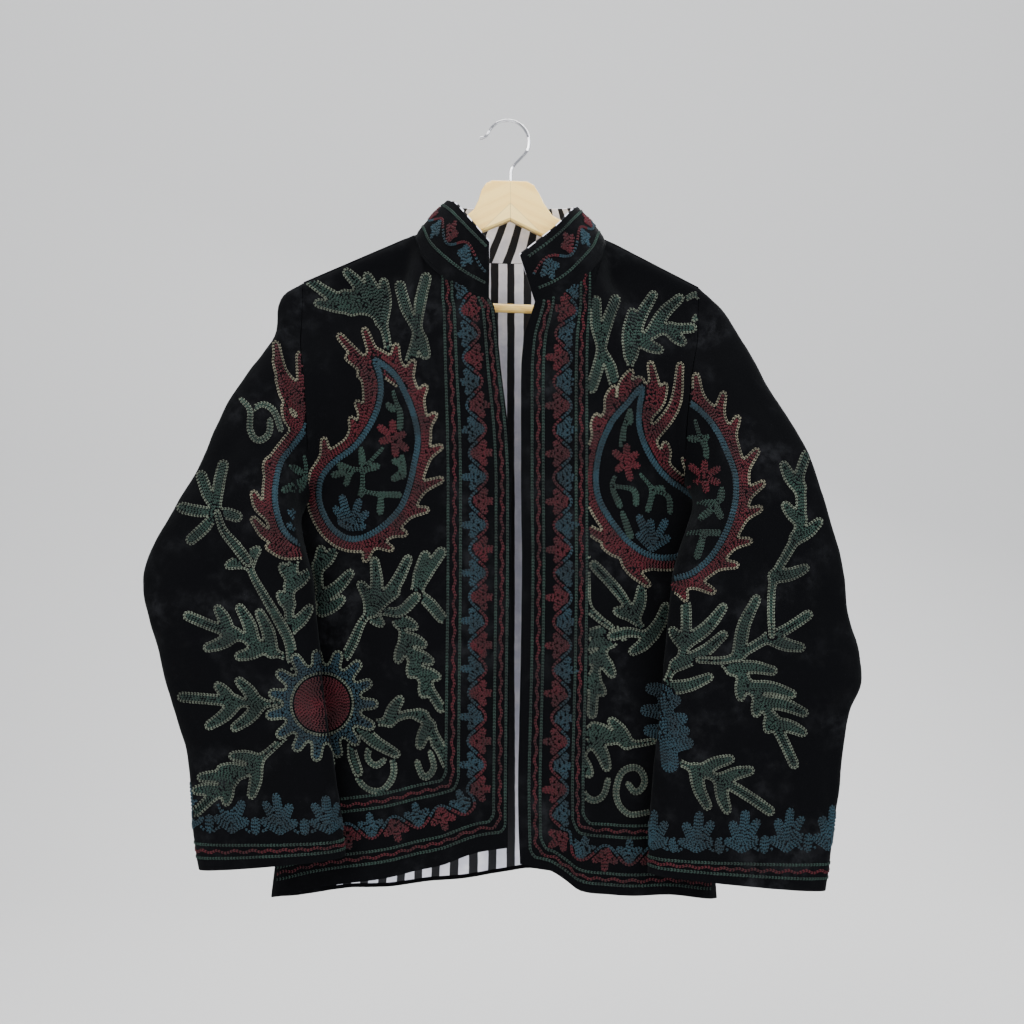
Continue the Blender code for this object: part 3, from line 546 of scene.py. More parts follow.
# A grid of points as a mesh, with its cut size as a UV map in metres. A closed grid is a tube.
def gridMesh(name, grid, closed, flip, kept=None):
    if closed:
        grid = np.concatenate((grid, grid[:, :1]), axis=1)
    rows, columns = grid.shape[:2]
    across = np.linalg.norm(np.diff(grid, axis=1), axis=2).mean(axis=0)
    down = np.linalg.norm(np.diff(grid, axis=0), axis=2).mean(axis=1)
    u = np.concatenate(([0.0], np.cumsum(across)))
    v = np.concatenate(([0.0], np.cumsum(down)))
    u -= u[-1] / 2
    shape = bmesh.new()
    bmesh.ops.create_grid(shape, x_segments=columns - 1, y_segments=rows - 1, size=1)
    cut = shape.loops.layers.uv.new("cut")
    shape.verts.ensure_lookup_table()
    shape.faces.ensure_lookup_table()
    for corner, place in zip(shape.verts, grid.reshape(-1, 3)):
        corner.co = place
    for face in shape.faces:
        for loop in face.loops:
            row, column = divmod(loop.vert.index, columns)
            loop[cut].uv = (u[column], v[row])
    if kept is not None:
        bare = []
        for face in shape.faces:
            row, column = divmod(min(corner.index for corner in face.verts), columns)
            if not kept[row, column]:
                bare.append(face)
        bmesh.ops.delete(shape, geom=bare, context="FACES")
    if closed:
        bmesh.ops.remove_doubles(shape, verts=shape.verts, dist=1e-6)
    if flip:
        bmesh.ops.reverse_faces(shape, faces=shape.faces)
    mesh = bpy.data.meshes.new(name)
    shape.to_mesh(mesh)
    shape.free()
    return mesh


def addPiece(name, mesh, materials, slot):
    piece = bpy.data.objects.new(name, mesh)
    bpy.context.collection.objects.link(piece)
    mesh.materials.clear()
    for one in materials:
        mesh.materials.append(one)
    mesh.shade_smooth()
    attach(piece, "root")
    return piece


def applyModifiers(piece):
    depsgraph = bpy.context.evaluated_depsgraph_get()
    done = bpy.data.meshes.new_from_object(piece.evaluated_get(depsgraph))
    piece.modifiers.clear()
    old = piece.data
    piece.data = done
    done.name = old.name
    bpy.data.meshes.remove(old)


# a closed wall of cloth behind a surface
def addWall(piece, thickness):
    wall = piece.modifiers.new("wall", "SOLIDIFY")
    wall.thickness = thickness
    wall.offset = -1
    wall.use_even_offset = True
    wall.thickness_clamp = 0
    wall.material_offset = len(piece.data.materials) - 1
    wall.material_offset_rim = 0
    applyModifiers(piece)
    piece.data.shade_smooth()
    piece.data.set_sharp_from_angle(angle=math.radians(58))


# The jacket's pieces. A crease is a line from x, z to x, z in millimetres, its half width and
# its height; minus is a trough.

panels = {
    "front_right": {
        "columns": 18, "facing": -1, "closed": False, "seams": ("top", "left"), "seed": 11,
        "flat": (0.250, 0.665), "area": 0.140,
        "creases": (
            (-188, -205, -150, -330, 9, -2.2),
            (-176, -215, -128, -300, 8, 1.8),
            (-196, -350, -120, -470, 11, -2.6),
            (-190, -385, -100, -520, 10, 2.0),
            (-90, -250, -70, -420, 13, 1.6),
            (-60, -330, -40, -560, 12, -1.4),
            (-150, -520, -165, -735, 10, 2.6),
            (-110, -600, -118, -742, 8, -2.2),
            (-30, -600, -25, -712, 9, 1.6),
        ),
    },
    "front_left": {
        "columns": 18, "facing": -1, "closed": False, "seams": ("top", "right"), "seed": 12,
        "flat": (0.210, 0.660), "area": 0.118,
        "creases": (
            (176, -205, 140, -320, 9, -2.2),
            (160, -215, 118, -310, 8, 1.8),
            (176, -345, 105, -470, 11, -2.6),
            (172, -375, 90, -520, 10, 2.0),
            (84, -250, 72, -420, 13, 1.5),
            (60, -360, 52, -600, 12, -1.4),
            (140, -520, 150, -740, 10, 2.6),
            (96, -600, 104, -748, 8, -2.2),
            (28, -600, 30, -720, 9, 1.6),
        ),
    },
    "back": {
        "columns": 35, "facing": 1, "closed": False, "seams": ("top", "left", "right"), "seed": 13,
        "flat": (0.470, 0.675), "area": 0.285,
        "creases": (
            (-186, -205, -120, -330, 9, -2.4),
            (-170, -215, -96, -300, 8, 1.8),
            (172, -205, 108, -330, 9, -2.4),
            (156, -215, 90, -300, 8, 1.8),
            (-190, -360, -110, -500, 12, -2.6),
            (172, -350, 100, -500, 12, -2.6),
            (-60, -190, -40, -420, 14, 1.6),
            (52, -190, 40, -420, 14, 1.6),
            (-20, -300, -10, -620, 12, -1.6),
            (-140, -480, -150, -750, 12, 2.4),
            (130, -480, 138, -750, 12, 2.4),
            (10, -560, 6, -740, 10, 1.8),
        ),
    },
}

sleeves = {
    "sleeve_right": {
        "columns": 20, "seed": 21, "flat": (0.420, 0.600), "area": 0.195,
        "creases": (
            (-214, -200, -226, -330, 7, -2.4),
            (-204, -230, -214, -400, 8, 2.2),
            (-226, -250, -300, -372, 9, -2.0),
            (-236, -330, -338, -430, 9, 2.2),
            (-214, -400, -330, -470, 9, -2.6),
            (-200, -450, -310, -540, 10, 2.2),
            (-196, -520, -300, -640, 10, -1.8),
            (-190, -600, -230, -716, 9, 1.8),
            (-270, -560, -282, -712, 9, -1.6),
        ),
    },
    "sleeve_left": {
        "columns": 20, "seed": 22, "flat": (0.430, 0.615), "area": 0.200,
        "creases": (
            (198, -200, 214, -330, 7, -2.4),
            (188, -230, 200, -390, 8, 2.2),
            (214, -250, 286, -372, 9, -2.0),
            (222, -330, 318, -440, 9, 2.2),
            (204, -400, 324, -490, 9, -2.6),
            (190, -450, 318, -556, 10, 2.2),
            (186, -530, 300, -640, 10, -1.8),
            (176, -600, 200, -730, 9, 1.8),
            (262, -580, 276, -736, 9, -1.8),
            (300, -600, 296, -740, 6, 2.0),
        ),
    },
}

collarSettings = {
    "columns": 33, "seed": 31, "flat": (0.430, 0.062), "area": 0.0240,
    "rumple": 0.35 * mm,
    "lap": 3.6 * mm, "lapLift": 0.4 * mm,     # the foot laps over the neck seam
}


def fineGrid(node, columns, facing, closed):
    grid = readGrid(node, columns, facing, closed)
    grid = refine(grid, 0, clothSettings["cell"], False, not closed)
    return refine(grid, 1, clothSettings["cell"], closed, not closed)


surfaces = {}


# keep a surface for the embroidery to lie on
def rememberSurface(node, grid, normals, closed):
    surfaces[node] = {"grid": grid, "normals": normals, "closed": closed}


underarm = {"height": -0.398, "span": 0.075, "from": 0.150, "to": 0.192, "reach": 9.0 * mm}


# The side seams stand out a little under the arms, so that no light shows between body and sleeve.
def swollen(grid):
    settings = underarm
    x, z = grid[..., 0], grid[..., 2]
    share = np.clip((np.abs(x) - settings["from"]) / (settings["to"] - settings["from"]), 0, 1)
    near = np.clip(1 - ((z - settings["height"]) / settings["span"]) ** 2, 0, 1) ** 2
    grid = grid.copy()
    grid[..., 0] += np.sign(x) * settings["reach"] * near * share**2 * (3 - 2 * share)
    return grid


# whether a grid's own winding turns its faces away from the normals
def facesInward(grid, normals):
    row, column = grid.shape[0] // 2, grid.shape[1] // 2
    here = grid[row, column]
    side = grid[row, column + 1] - here
    down = grid[row + 1, column] - here
    return float(np.dot(np.cross(side, down), normals[row, column])) < 0


# a border's points, moved outwards from the row beside them by a length
def beyond(border, beside, length):
    way = border - beside
    return border + way * length / np.linalg.norm(way, axis=1, keepdims=True)


# A grid of points as a finished wall of cloth that stands for its node. Of two materials, the
# first is outside and on the rims.
def makeSheet(node, grid, normals, closed, materials, slot="velvet", kept=None):
    mesh = gridMesh(node + "_cloth", grid, closed, facesInward(grid, normals), kept)
    piece = addPiece(node + "_cloth", mesh, materials, slot)
    addWall(piece, clothSettings[slot + "Thickness"])
    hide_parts(node)


def makePanel(node, settings, materials):
    grid = fineGrid(node, settings["columns"], settings["facing"], False)
    normals = normalsOf(grid, False)
    if normals[..., 1].mean() * settings["facing"] < 0:
        normals = -normals
    lift = creaseHeights(grid, settings["creases"])
    lift = lift + rumple(grid, clothSettings["rumple"], settings["seed"])
    grid = swollen(grid + normals * (lift * heldEdges(grid, settings["seams"]))[..., None])
    rememberSurface(node, grid, normals, False)
    tucked = beyond(grid[0], grid[1], clothSettings["tuck"]) - normals[0] * clothSettings["tuckDepth"]
    grid = np.concatenate((tucked[None], grid))
    normals = np.concatenate((normals[:1], normals))
    makeSheet(node, grid, normals, False, materials)


def makeSleeve(node, settings, velvet):
    grid = fineGrid(node, settings["columns"], 0, True)
    normals = normalsOf(grid, True)
    if ((grid - grid.mean(axis=1, keepdims=True)) * normals).sum(axis=2).mean() < 0:
        normals = -normals
    lift = creaseHeights(grid, settings["creases"]) * np.clip(np.abs(normals[..., 1]) * 1.4, 0, 1)
    lift = lift + rumple(grid, clothSettings["rumple"], settings["seed"])
    grid = grid + normals * (lift * heldEdges(grid, ("top",)))[..., None]
    rememberSurface(node, grid, normals, True)
    makeSheet(node, grid, normals, True, (velvet, velvet))


def makeCollar(settings, velvet):
    grid = fineGrid("collar", settings["columns"], 0, False)
    normals = normalsOf(grid, False)
    middle = grid.reshape(-1, 3).mean(axis=0)
    if ((grid - middle) * normals)[..., :2].sum(axis=2).mean() < 0:
        normals = -normals
    lift = rumple(grid, settings["rumple"], settings["seed"]) * heldEdges(grid, ("bottom",))
    grid = grid + normals * lift[..., None]
    rememberSurface("collar", grid, normals, False)
    foot = beyond(grid[-1], grid[-2], settings["lap"]) + normals[-1] * settings["lapLift"]
    grid = np.concatenate((grid, foot[None]))
    normals = np.concatenate((normals, normals[-1:]))
    makeSheet("collar", grid, normals, False, (velvet, velvet))


# a lining's visible side, set in from the velvet's outer surface
def liningGrid(node):
    surface = surfaces[node]
    inset = (
        clothSettings["velvetThickness"]
        + clothSettings["liningGap"]
        + clothSettings["liningThickness"]
    )
    return surface["grid"] - surface["normals"] * inset, -surface["normals"]


linings = {
    "collar_lining": {"flat": (0.415, 0.060), "area": 0.0225},
    "cuff_lining_right": {"flat": (0.29, 0.075), "area": 0.29 * 0.075},
    "cuff_lining_left": {"flat": (0.36, 0.075), "area": 0.36 * 0.075},
    "back_lining": {"flat": (0.345, 0.66), "area": 0.205, "neck": 0.080, "lowerFrom": -0.235},
}


def makeLinings(stripes, collarStripes):
    grid, normals = liningGrid("collar")
    grid[0] = beyond(grid[0], grid[1], clothSettings["liningPeek"])
    makeSheet("collar_lining", grid, normals, False, (collarStripes,), "lining")
    for side in ("right", "left"):
        node = "cuff_lining_" + side
        grid, normals = liningGrid("sleeve_" + side)
        low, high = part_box(node)
        rows = np.nonzero(grid[..., 2].mean(axis=1) < high.z - 0.5 * (high.z - low.z) * 0.35)[0]
        rows = slice(rows[0], len(grid) - 1)
        makeSheet(node, grid[rows], normals[rows], True, (stripes,), "lining")
    settings = linings["back_lining"]
    grid, normals = liningGrid("back")
    low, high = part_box("back_lining")
    columns = np.nonzero((grid[-1, :, 0] > low.x) & (grid[-1, :, 0] < high.x))[0]
    part = slice(columns[0], columns[-1] + 1)
    grid, normals = grid[:-1, part], normals[:-1, part]
    narrow = np.abs(grid[:-1, :-1, 0]) < settings["neck"]
    lower = grid[:-1, :-1, 2] < settings["lowerFrom"]
    makeSheet("back_lining", grid, normals, False, (stripes,), "lining", narrow | lower)


# Embroidery is drawn flat, in millimetres, and then carried onto the cloth. On fronts and
# sleeves the drawing plane is the photograph's view, where a pixel is about a millimetre.

stitchSettings = {
    "firstRow": 1.5,                            # the outer row's middle from a drawing's edge
    "pitch": 2.35,                              # most from one row of chain stitch to the next
    "bareBelow": 1.3,                           # cloth deeper than this in a drawing isn't left bare
    "core": 1.0,                                # the last row's distance from a limb's middle
    "cell": 2.6 * mm,                           # a later drawing keeps this far from an earlier one
    "web": 0.9,                                 # how softly limbs that meet run together
    "link": 3.1,                                # from one link of a row to the next
    "coverStep": 0.8,                           # how finely stitched lines are marked
    "bareStep": 0.7,                            # how finely bare cloth is
    "strand": (4.2 * mm, 1.75 * mm, 1.5 * mm),  # length, width and height
    "splay": 0.27,                              # how far a link's two strands open, in radians
    "apart": 0.70 * mm,                         # each strand from the row's middle
    "sunk": 0.25 * mm,
    "unevenTurn": 0.13,
    "unevenSize": 0.10,
    "seed": 5,
    "grazing": 0.22,                            # cloth seen more edge-on than this gets no stitch
    "stretch": 6.6,                             # nor a link that the cloth's turn draws out past this
}


def evenly(line, step):
    lengths = np.concatenate(([0.0], np.cumsum(np.linalg.norm(np.diff(line, axis=0), axis=1))))
    wanted = np.linspace(0, lengths[-1], max(int(round(lengths[-1] / step)), 1) + 1)
    return np.stack([np.interp(wanted, lengths, line[:, axis]) for axis in (0, 1)], axis=1)


# a soft curve through places, read at even steps
def smoothLine(places, step, closed=False):
    places = np.array(places, float)
    if closed:
        around = np.concatenate((places[-1:], places, places[:2]))
    else:
        around = np.concatenate((2 * places[:1] - places[1:2], places, 2 * places[-1:] - places[-2:-1]))
    share = np.linspace(0, 1, 9)[:-1, None]
    fine = [
        0.5 * (2 * b + (c - a) * share + (2 * a - 5 * b + 4 * c - d) * share**2
               + (3 * b - a - 3 * c + d) * share**3)
        for a, b, c, d in zip(around, around[1:], around[2:], around[3:])
    ]
    return evenly(np.concatenate(fine + [places[:1] if closed else places[-1:]]), step)


# a limb is a row of tapered round-ended pieces: x, y, half width at each end
def limb(line, widths, closed=False):
    line = smoothLine(line, 5.0, closed)
    width = np.interp(np.linspace(0, 1, len(line)), np.linspace(0, 1, len(widths)), widths)
    return np.column_stack((line[:-1], width[:-1], line[1:], width[1:]))


def finger(start, tip, widths, bow=0.0):
    start, tip = np.array(start, float), np.array(tip, float)
    way = (tip - start) / max(np.linalg.norm(tip - start), 1e-6)
    tip = tip - way * widths[-1]
    side = np.array((way[1], -way[0])) * np.linalg.norm(tip - start) * bow
    return limb((start, (start + tip) / 2 + side, tip), widths)


leafSettings = {
    "stem": (3.6, 4.6, 5.8, 5.6),
    "finger": (7.6, 7.4, 6.6, 5.2),
    "lean": 0.95,              # how far back along the stem a finger springs from
    "bow": 0.07,
}


def spray(stem, tips):
    settings = leafSettings
    spine = smoothLine(stem, 2.0)
    parts = [limb(stem, settings["stem"])]
    for x, y in tips:
        gaps = np.hypot(spine[:, 0] - x, spine[:, 1] - y)
        near = int(np.argmin(gaps))
        root = max(near - int(gaps[near] * settings["lean"] / 2.0), 0)
        ahead = spine[min(root + 2, len(spine) - 1)] - spine[max(root - 1, 0)]
        away = np.array((x, y)) - spine[root]
        side = np.sign(ahead[0] * away[1] - ahead[1] * away[0])
        parts.append(finger(spine[root], (x, y), settings["finger"], -side * settings["bow"]))
    return parts


# fingers from one place, such as a flower's petals
def star(middle, tips, widths):
    return [finger(middle, tip, widths) for tip in tips]


def disc(middle, radius):
    return np.array([(*middle, radius, middle[0] + 0.1, middle[1], radius)])


def fan(base, way, reach, lobes, spread, widths):
    turn = math.atan2(way[1], way[0])
    parts = []
    for share in np.linspace(-1, 1, lobes):
        angle = turn + share * spread
        length = reach * (1 - 0.16 * abs(share))
        tip = (base[0] + math.cos(angle) * length, base[1] + math.sin(angle) * length)
        parts.append(finger(base, tip, widths, 0.10 * share))
    return parts


# how far places lie outside a drawing's limbs; minus is inside
def outside(limbs, x, y):
    web = stitchSettings["web"]
    total = np.full(x.shape, 1e-20)
    for parts in limbs:
        nearest = np.full(x.shape, 1e3)
        for startX, startY, startWidth, endX, endY, endWidth in parts:
            runX, runY = endX - startX, endY - startY
            share = ((x - startX) * runX + (y - startY) * runY) / (runX**2 + runY**2 + 1e-9)
            share = np.clip(share, 0, 1)
            gap = np.hypot(x - startX - share * runX, y - startY - share * runY)
            nearest = np.minimum(nearest, gap - startWidth - share * (endWidth - startWidth))
        total += np.exp(-nearest / web)
    return -web * np.log(total)


# the loops along which a field of heights crosses a level
def levelLoops(field, level):
    inside = field < level
    mixed = (inside[:-1, :-1] != inside[:-1, 1:]) | (inside[1:, :-1] != inside[1:, 1:])
    mixed |= inside[:-1, :-1] != inside[1:, :-1]
    joins = {}
    for row, column in np.argwhere(mixed).tolist():
        a, b = inside[row, column], inside[row, column + 1]
        d, c = inside[row + 1, column], inside[row + 1, column + 1]
        crossed = []
        if a != b:
            crossed.append((row, column, 0))
        if b != c:
            crossed.append((row, column + 1, 1))
        if c != d:
            crossed.append((row + 1, column, 0))
        if d != a:
            crossed.append((row, column, 1))
        for one, other in zip(crossed[::2], crossed[1::2]):
            joins.setdefault(one, []).append(other)
            joins.setdefault(other, []).append(one)
    loops = []
    while joins:
        here = next(iter(joins))
        loop = []
        while here is not None:
            row, column, down = here
            near, far = field[row, column], field[row + down, column + 1 - down]
            share = (level - near) / (far - near)
            loop.append((column + share * (1 - down), row + share * down))
            here = next((one for one in joins.pop(here) if one in joins), None)
        if len(loop) > 2:
            loops.append(np.array(loop + loop[:1]))
    return loops


# sets the cells at these places and those around them
def mark(cells, places, value):
    columns, rows = np.rint(places).astype(int).T
    for across in (-1, 0, 1):
        for down in (-1, 0, 1):
            cells[np.clip(rows + down, 0, cells.shape[0] - 1),
                  np.clip(columns + across, 0, cells.shape[1] - 1)] = value


# A surface in its hoop: how its drawing is carried onto it, and what is stitched so far.
class Hoop:
    def __init__(self, node, carry, corner=(0, 0), size=(1024, 1024)):
        self.node = node
        self.carry = carry
        self.corner = np.array(corner)
        self.taken = np.zeros((size[1], size[0]), bool)
        self.rows = []

    def cells(self, line):
        columns, rows = np.rint(line - self.corner).astype(int).T
        height, width = self.taken.shape
        return np.clip(rows, 0, height - 1), np.clip(columns, 0, width - 1)

    # one row of chain stitch along a line, left out where there is stitching already
    def sew(self, line, thread):
        line = evenly(line, stitchSettings["link"])
        free = ~self.taken[self.cells(line)]
        self.rows.append((thread, line, free))

    def cover(self, line):
        mark(self.taken, evenly(line, stitchSettings["coverStep"]) - self.corner, True)

    def line(self, places, thread, wave=0.0, period=14.0):
        path = smoothLine(places, 1.5)
        if wave:
            along = np.arange(len(path)) * 1.5
            way = np.gradient(path, axis=0)
            way /= np.linalg.norm(way, axis=1, keepdims=True)
            swing = wave * np.sin(math.tau * along / period + 0.8 * np.sin(along / period))
            path = path + np.column_stack((-way[:, 1], way[:, 0])) * swing[:, None]
        self.sew(path, thread)
        self.cover(path)

    # rows that follow a drawing's outline, each inside the last, then single links in bare spots
    def fill(self, limbs, edge, inner=None, most=99):
        parts = np.concatenate(limbs)
        ends = np.concatenate((parts[:, :2], parts[:, 3:5]))
        margin = parts[:, 2].max() + 4
        low, high = np.floor(ends.min(axis=0) - margin), np.ceil(ends.max(axis=0) + margin)
        x, y = np.meshgrid(np.arange(low[0], high[0] + 1), np.arange(low[1], high[1] + 1))
        field = outside(limbs, x, y)
        deepest = field.min()
        room = np.percentile(parts[:, 2], 75) - stitchSettings["core"] - stitchSettings["firstRow"]
        pitch = stitchSettings["pitch"]
        if room > 0.6:
            pitch = room / max(round(room / pitch + 0.15), 1)
        bare = field < -stitchSettings["bareBelow"]
        row, level = 0, -stitchSettings["firstRow"]
        while level > deepest + 0.2 and row < most:
            for loop in levelLoops(field, level):
                if len(loop) > 7:
                    self.sew(loop + low, inner if row and inner else edge)
                    mark(bare, evenly(loop, stitchSettings["bareStep"]), False)
            row += 1
            level -= pitch
        slopeY, slopeX = np.gradient(field)
        while most > 1 and bare.any():
            y, x = np.unravel_index(np.argmin(np.where(bare, field, 9.0)), field.shape)
            way = np.array((0.01 - slopeY[y, x], slopeX[y, x]))
            way *= 0.5 * stitchSettings["link"] / max(np.linalg.norm(way), 1e-3)
            link = np.array(((x, y) - way, (x, y) + way))
            self.sew(link + low, inner or edge)
            mark(bare, evenly(link, stitchSettings["bareStep"]), False)
            bare[y, x] = False
        covered = np.argwhere(field < 0.3)[:, ::-1] + low
        self.taken[self.cells(covered)] = True


def surfaceTree(node):
    surface = surfaces[node]
    grid = surface["grid"]
    rows, columns = grid.shape[:2]
    spots = np.arange(rows * columns).reshape(rows, columns)
    if surface["closed"]:
        spots = np.concatenate((spots, spots[:, :1]), axis=1)
    faces = np.stack((spots[:-1, :-1], spots[:-1, 1:], spots[1:, 1:], spots[1:, :-1]), axis=-1)
    return BVHTree.FromPolygons(grid.reshape(-1, 3).tolist(), faces.reshape(-1, 4).tolist())


def castOnto(tree, rays):
    places, normals = np.full((len(rays), 3), np.nan), np.full((len(rays), 3), np.nan)
    for index, (start, way) in enumerate(rays):
        place, normal, face, reach = tree.ray_cast(start, way)
        if place is None:
            continue
        facing = normal.dot(way)
        if abs(facing) < stitchSettings["grazing"]:
            continue
        places[index] = place
        normals[index] = normal if facing < 0 else -normal
    return places, normals


# from the photograph's view onto a surface
def fromCamera(node):
    tree = surfaceTree(node)
    start = Vector(view["place"])
    return lambda line: castOnto(tree, [(start, sightLine(x, y)) for x, y in line.tolist()])


# the same drawing plane, seen through from behind the jacket
def fromBehind(node):
    tree = surfaceTree(node)
    x, y, z = view["place"]
    half = view["pixels"] / 2
    return lambda line: castOnto(tree, [
        (Vector((x + (px - half) * mm, 1.0, z - (py - half) * mm)), Vector((0, -1, 0)))
        for px, py in line.tolist()
    ])


# by the cloth's own measure: across from its left edge, and up from its lower edge
def byCut(node):
    surface = surfaces[node]
    grid, normals = surface["grid"], surface["normals"]
    if surface["closed"]:
        grid = np.concatenate((grid, grid[:, :1]), axis=1)
        normals = np.concatenate((normals, normals[:, :1]), axis=1)
    grid, normals = grid[::-1], normals[::-1]
    widths = np.linalg.norm(np.diff(grid[0], axis=0), axis=1) / mm
    across = np.concatenate(([0.0], np.cumsum(widths)))
    heights = np.linalg.norm(np.diff(grid, axis=0), axis=2).mean(axis=1) / mm
    up = np.concatenate(([0.0], np.cumsum(heights)))

    def carry(line):
        where = line[:, 0]
        if surface["closed"]:
            where = where % across[-1]
        off = (where < 0) | (where > across[-1]) | (line[:, 1] < 0) | (line[:, 1] > up[-1])
        column = np.interp(where, across, np.arange(len(across)))
        row = np.interp(line[:, 1], up, np.arange(len(up)))
        left = np.minimum(column.astype(int), len(across) - 2)
        low = np.minimum(row.astype(int), len(up) - 2)
        besideLeft, aboveLow = (column - left)[:, None], (row - low)[:, None]
        read = [
            (kind[low, left] * (1 - besideLeft) + kind[low, left + 1] * besideLeft) * (1 - aboveLow)
            + (kind[low + 1, left] * (1 - besideLeft) + kind[low + 1, left + 1] * besideLeft) * aboveLow
            for kind in (grid, normals)
        ]
        for one in read:
            one[off] = np.nan
        return read

    return carry, across[-1], up[-1]


# one link of chain stitch: two strands that open into a V
def chainLink():
    settings = stitchSettings
    length, width, height = settings["strand"]
    shape = bmesh.new()
    for side in (-1, 1):
        made = bmesh.ops.create_cone(
            shape, cap_ends=True, segments=4, radius1=0.5, radius2=0, depth=1,
        )["verts"]
        bmesh.ops.scale(shape, verts=made, vec=(length, width, height))
        turn = Matrix.Rotation(side * settings["splay"], 3, "Z")
        bmesh.ops.rotate(shape, verts=made, cent=(0, 0, 0), matrix=turn)
        lift = height / 2 - settings["sunk"]
        bmesh.ops.translate(shape, verts=made, vec=(0, side * settings["apart"], lift))
    bmesh.ops.remove_doubles(shape, verts=shape.verts, dist=1e-7)
    shape.verts.index_update()
    corners = np.array([corner.co[:] for corner in shape.verts])
    faces = [[corner.index for corner in face.verts] for face in shape.faces]
    shape.free()
    return corners, faces


# every link of one thread on one surface, as one joined mesh
def stitchMesh(name, starts, ends, normals, chance):
    settings = stitchSettings
    corners, faces = chainLink()
    along = ends - starts
    lengths = np.linalg.norm(along, axis=1, keepdims=True)
    along = along / lengths
    side = np.cross(normals, along)
    side /= np.linalg.norm(side, axis=1, keepdims=True)
    above = np.cross(along, side)
    turn = chance.uniform(-1, 1, (len(starts), 1)) * settings["unevenTurn"]
    size = 1 + chance.uniform(-1, 1, (len(starts), 1, 1)) * settings["unevenSize"]
    turned = along * np.cos(turn) + side * np.sin(turn)
    side = side * np.cos(turn) - along * np.sin(turn)
    frames = np.stack((turned, side, above), axis=1)
    places = (starts + ends)[:, None] / 2 + (corners[None] @ frames) * size
    count = len(corners)
    loops = np.array([corner for face in faces for corner in face])
    sizes = np.array([len(face) for face in faces])
    mesh = bpy.data.meshes.new(name)
    mesh.vertices.add(len(starts) * count)
    mesh.vertices.foreach_set("co", places.ravel())
    mesh.loops.add(len(starts) * len(loops))
    mesh.loops.foreach_set("vertex_index", (loops[None] + np.arange(len(starts))[:, None] * count).ravel())
    mesh.polygons.add(len(starts) * len(sizes))
    before = np.concatenate(([0], np.cumsum(sizes)[:-1]))
    mesh.polygons.foreach_set(
        "loop_start", (before[None] + np.arange(len(starts))[:, None] * len(loops)).ravel())
    mesh.update(calc_edges=True)
    mesh.validate()
    return mesh


def sewAll(hoops, threads):
    chance = np.random.default_rng(stitchSettings["seed"])
    total = 0
    bundles, worked = {}, {}
    around = [(0, 0, 0), (1, 0, 0), (-1, 0, 0), (0, 1, 0), (0, -1, 0), (0, 0, 1), (0, 0, -1)]
    for hoop in hoops:
        before = worked.setdefault(hoop.node, set())
        mine = set()
        for thread, line, free in hoop.rows:
            places, normals = hoop.carry(line)
            found = free & ~np.isnan(places[:, 0])
            cells = np.floor(np.nan_to_num(places) / stitchSettings["cell"]).astype(int)
            found &= np.array([tuple(cell) not in before for cell in cells.tolist()])
            for step in around:
                mine.update(map(tuple, (cells[found] + step).tolist()))
            gaps = np.linalg.norm(np.diff(places, axis=0), axis=1)
            whole = found[:-1] & found[1:] & (gaps > 0.3 * mm) & (gaps < stitchSettings["stretch"] * mm)
            if whole.any():
                bundle = bundles.setdefault((hoop.node, thread), [])
                bundle.append((places[:-1][whole], places[1:][whole], normals[:-1][whole]))
        before |= mine
    for (node, thread), bundle in bundles.items():
        starts, ends, normals = (np.concatenate(kind) for kind in zip(*bundle))
        name = f"{node}_stitches_{thread}"
        mesh = stitchMesh(name, starts, ends, normals, chance)
        addPiece(name, mesh, (threads[thread],), "thread_sage" if thread == "beige" else "thread_" + thread)
        total += len(starts)
    print("links of chain stitch:", total)


# Motifs, one by one. Half widths go from a limb's root to its tip.
motifWidths = {
    "fan": (3.2, 4.4, 4.2),
    "flower": (2.2, 3.8, 4.0),
    "stalk": (2.2, 2.3, 3.4, 3.5),
    "bud": (2.6, 4.0, 3.9),
    "leaf": (4.0, 6.4, 6.1),
    "curl": (3.0, 3.6, 3.4),
}

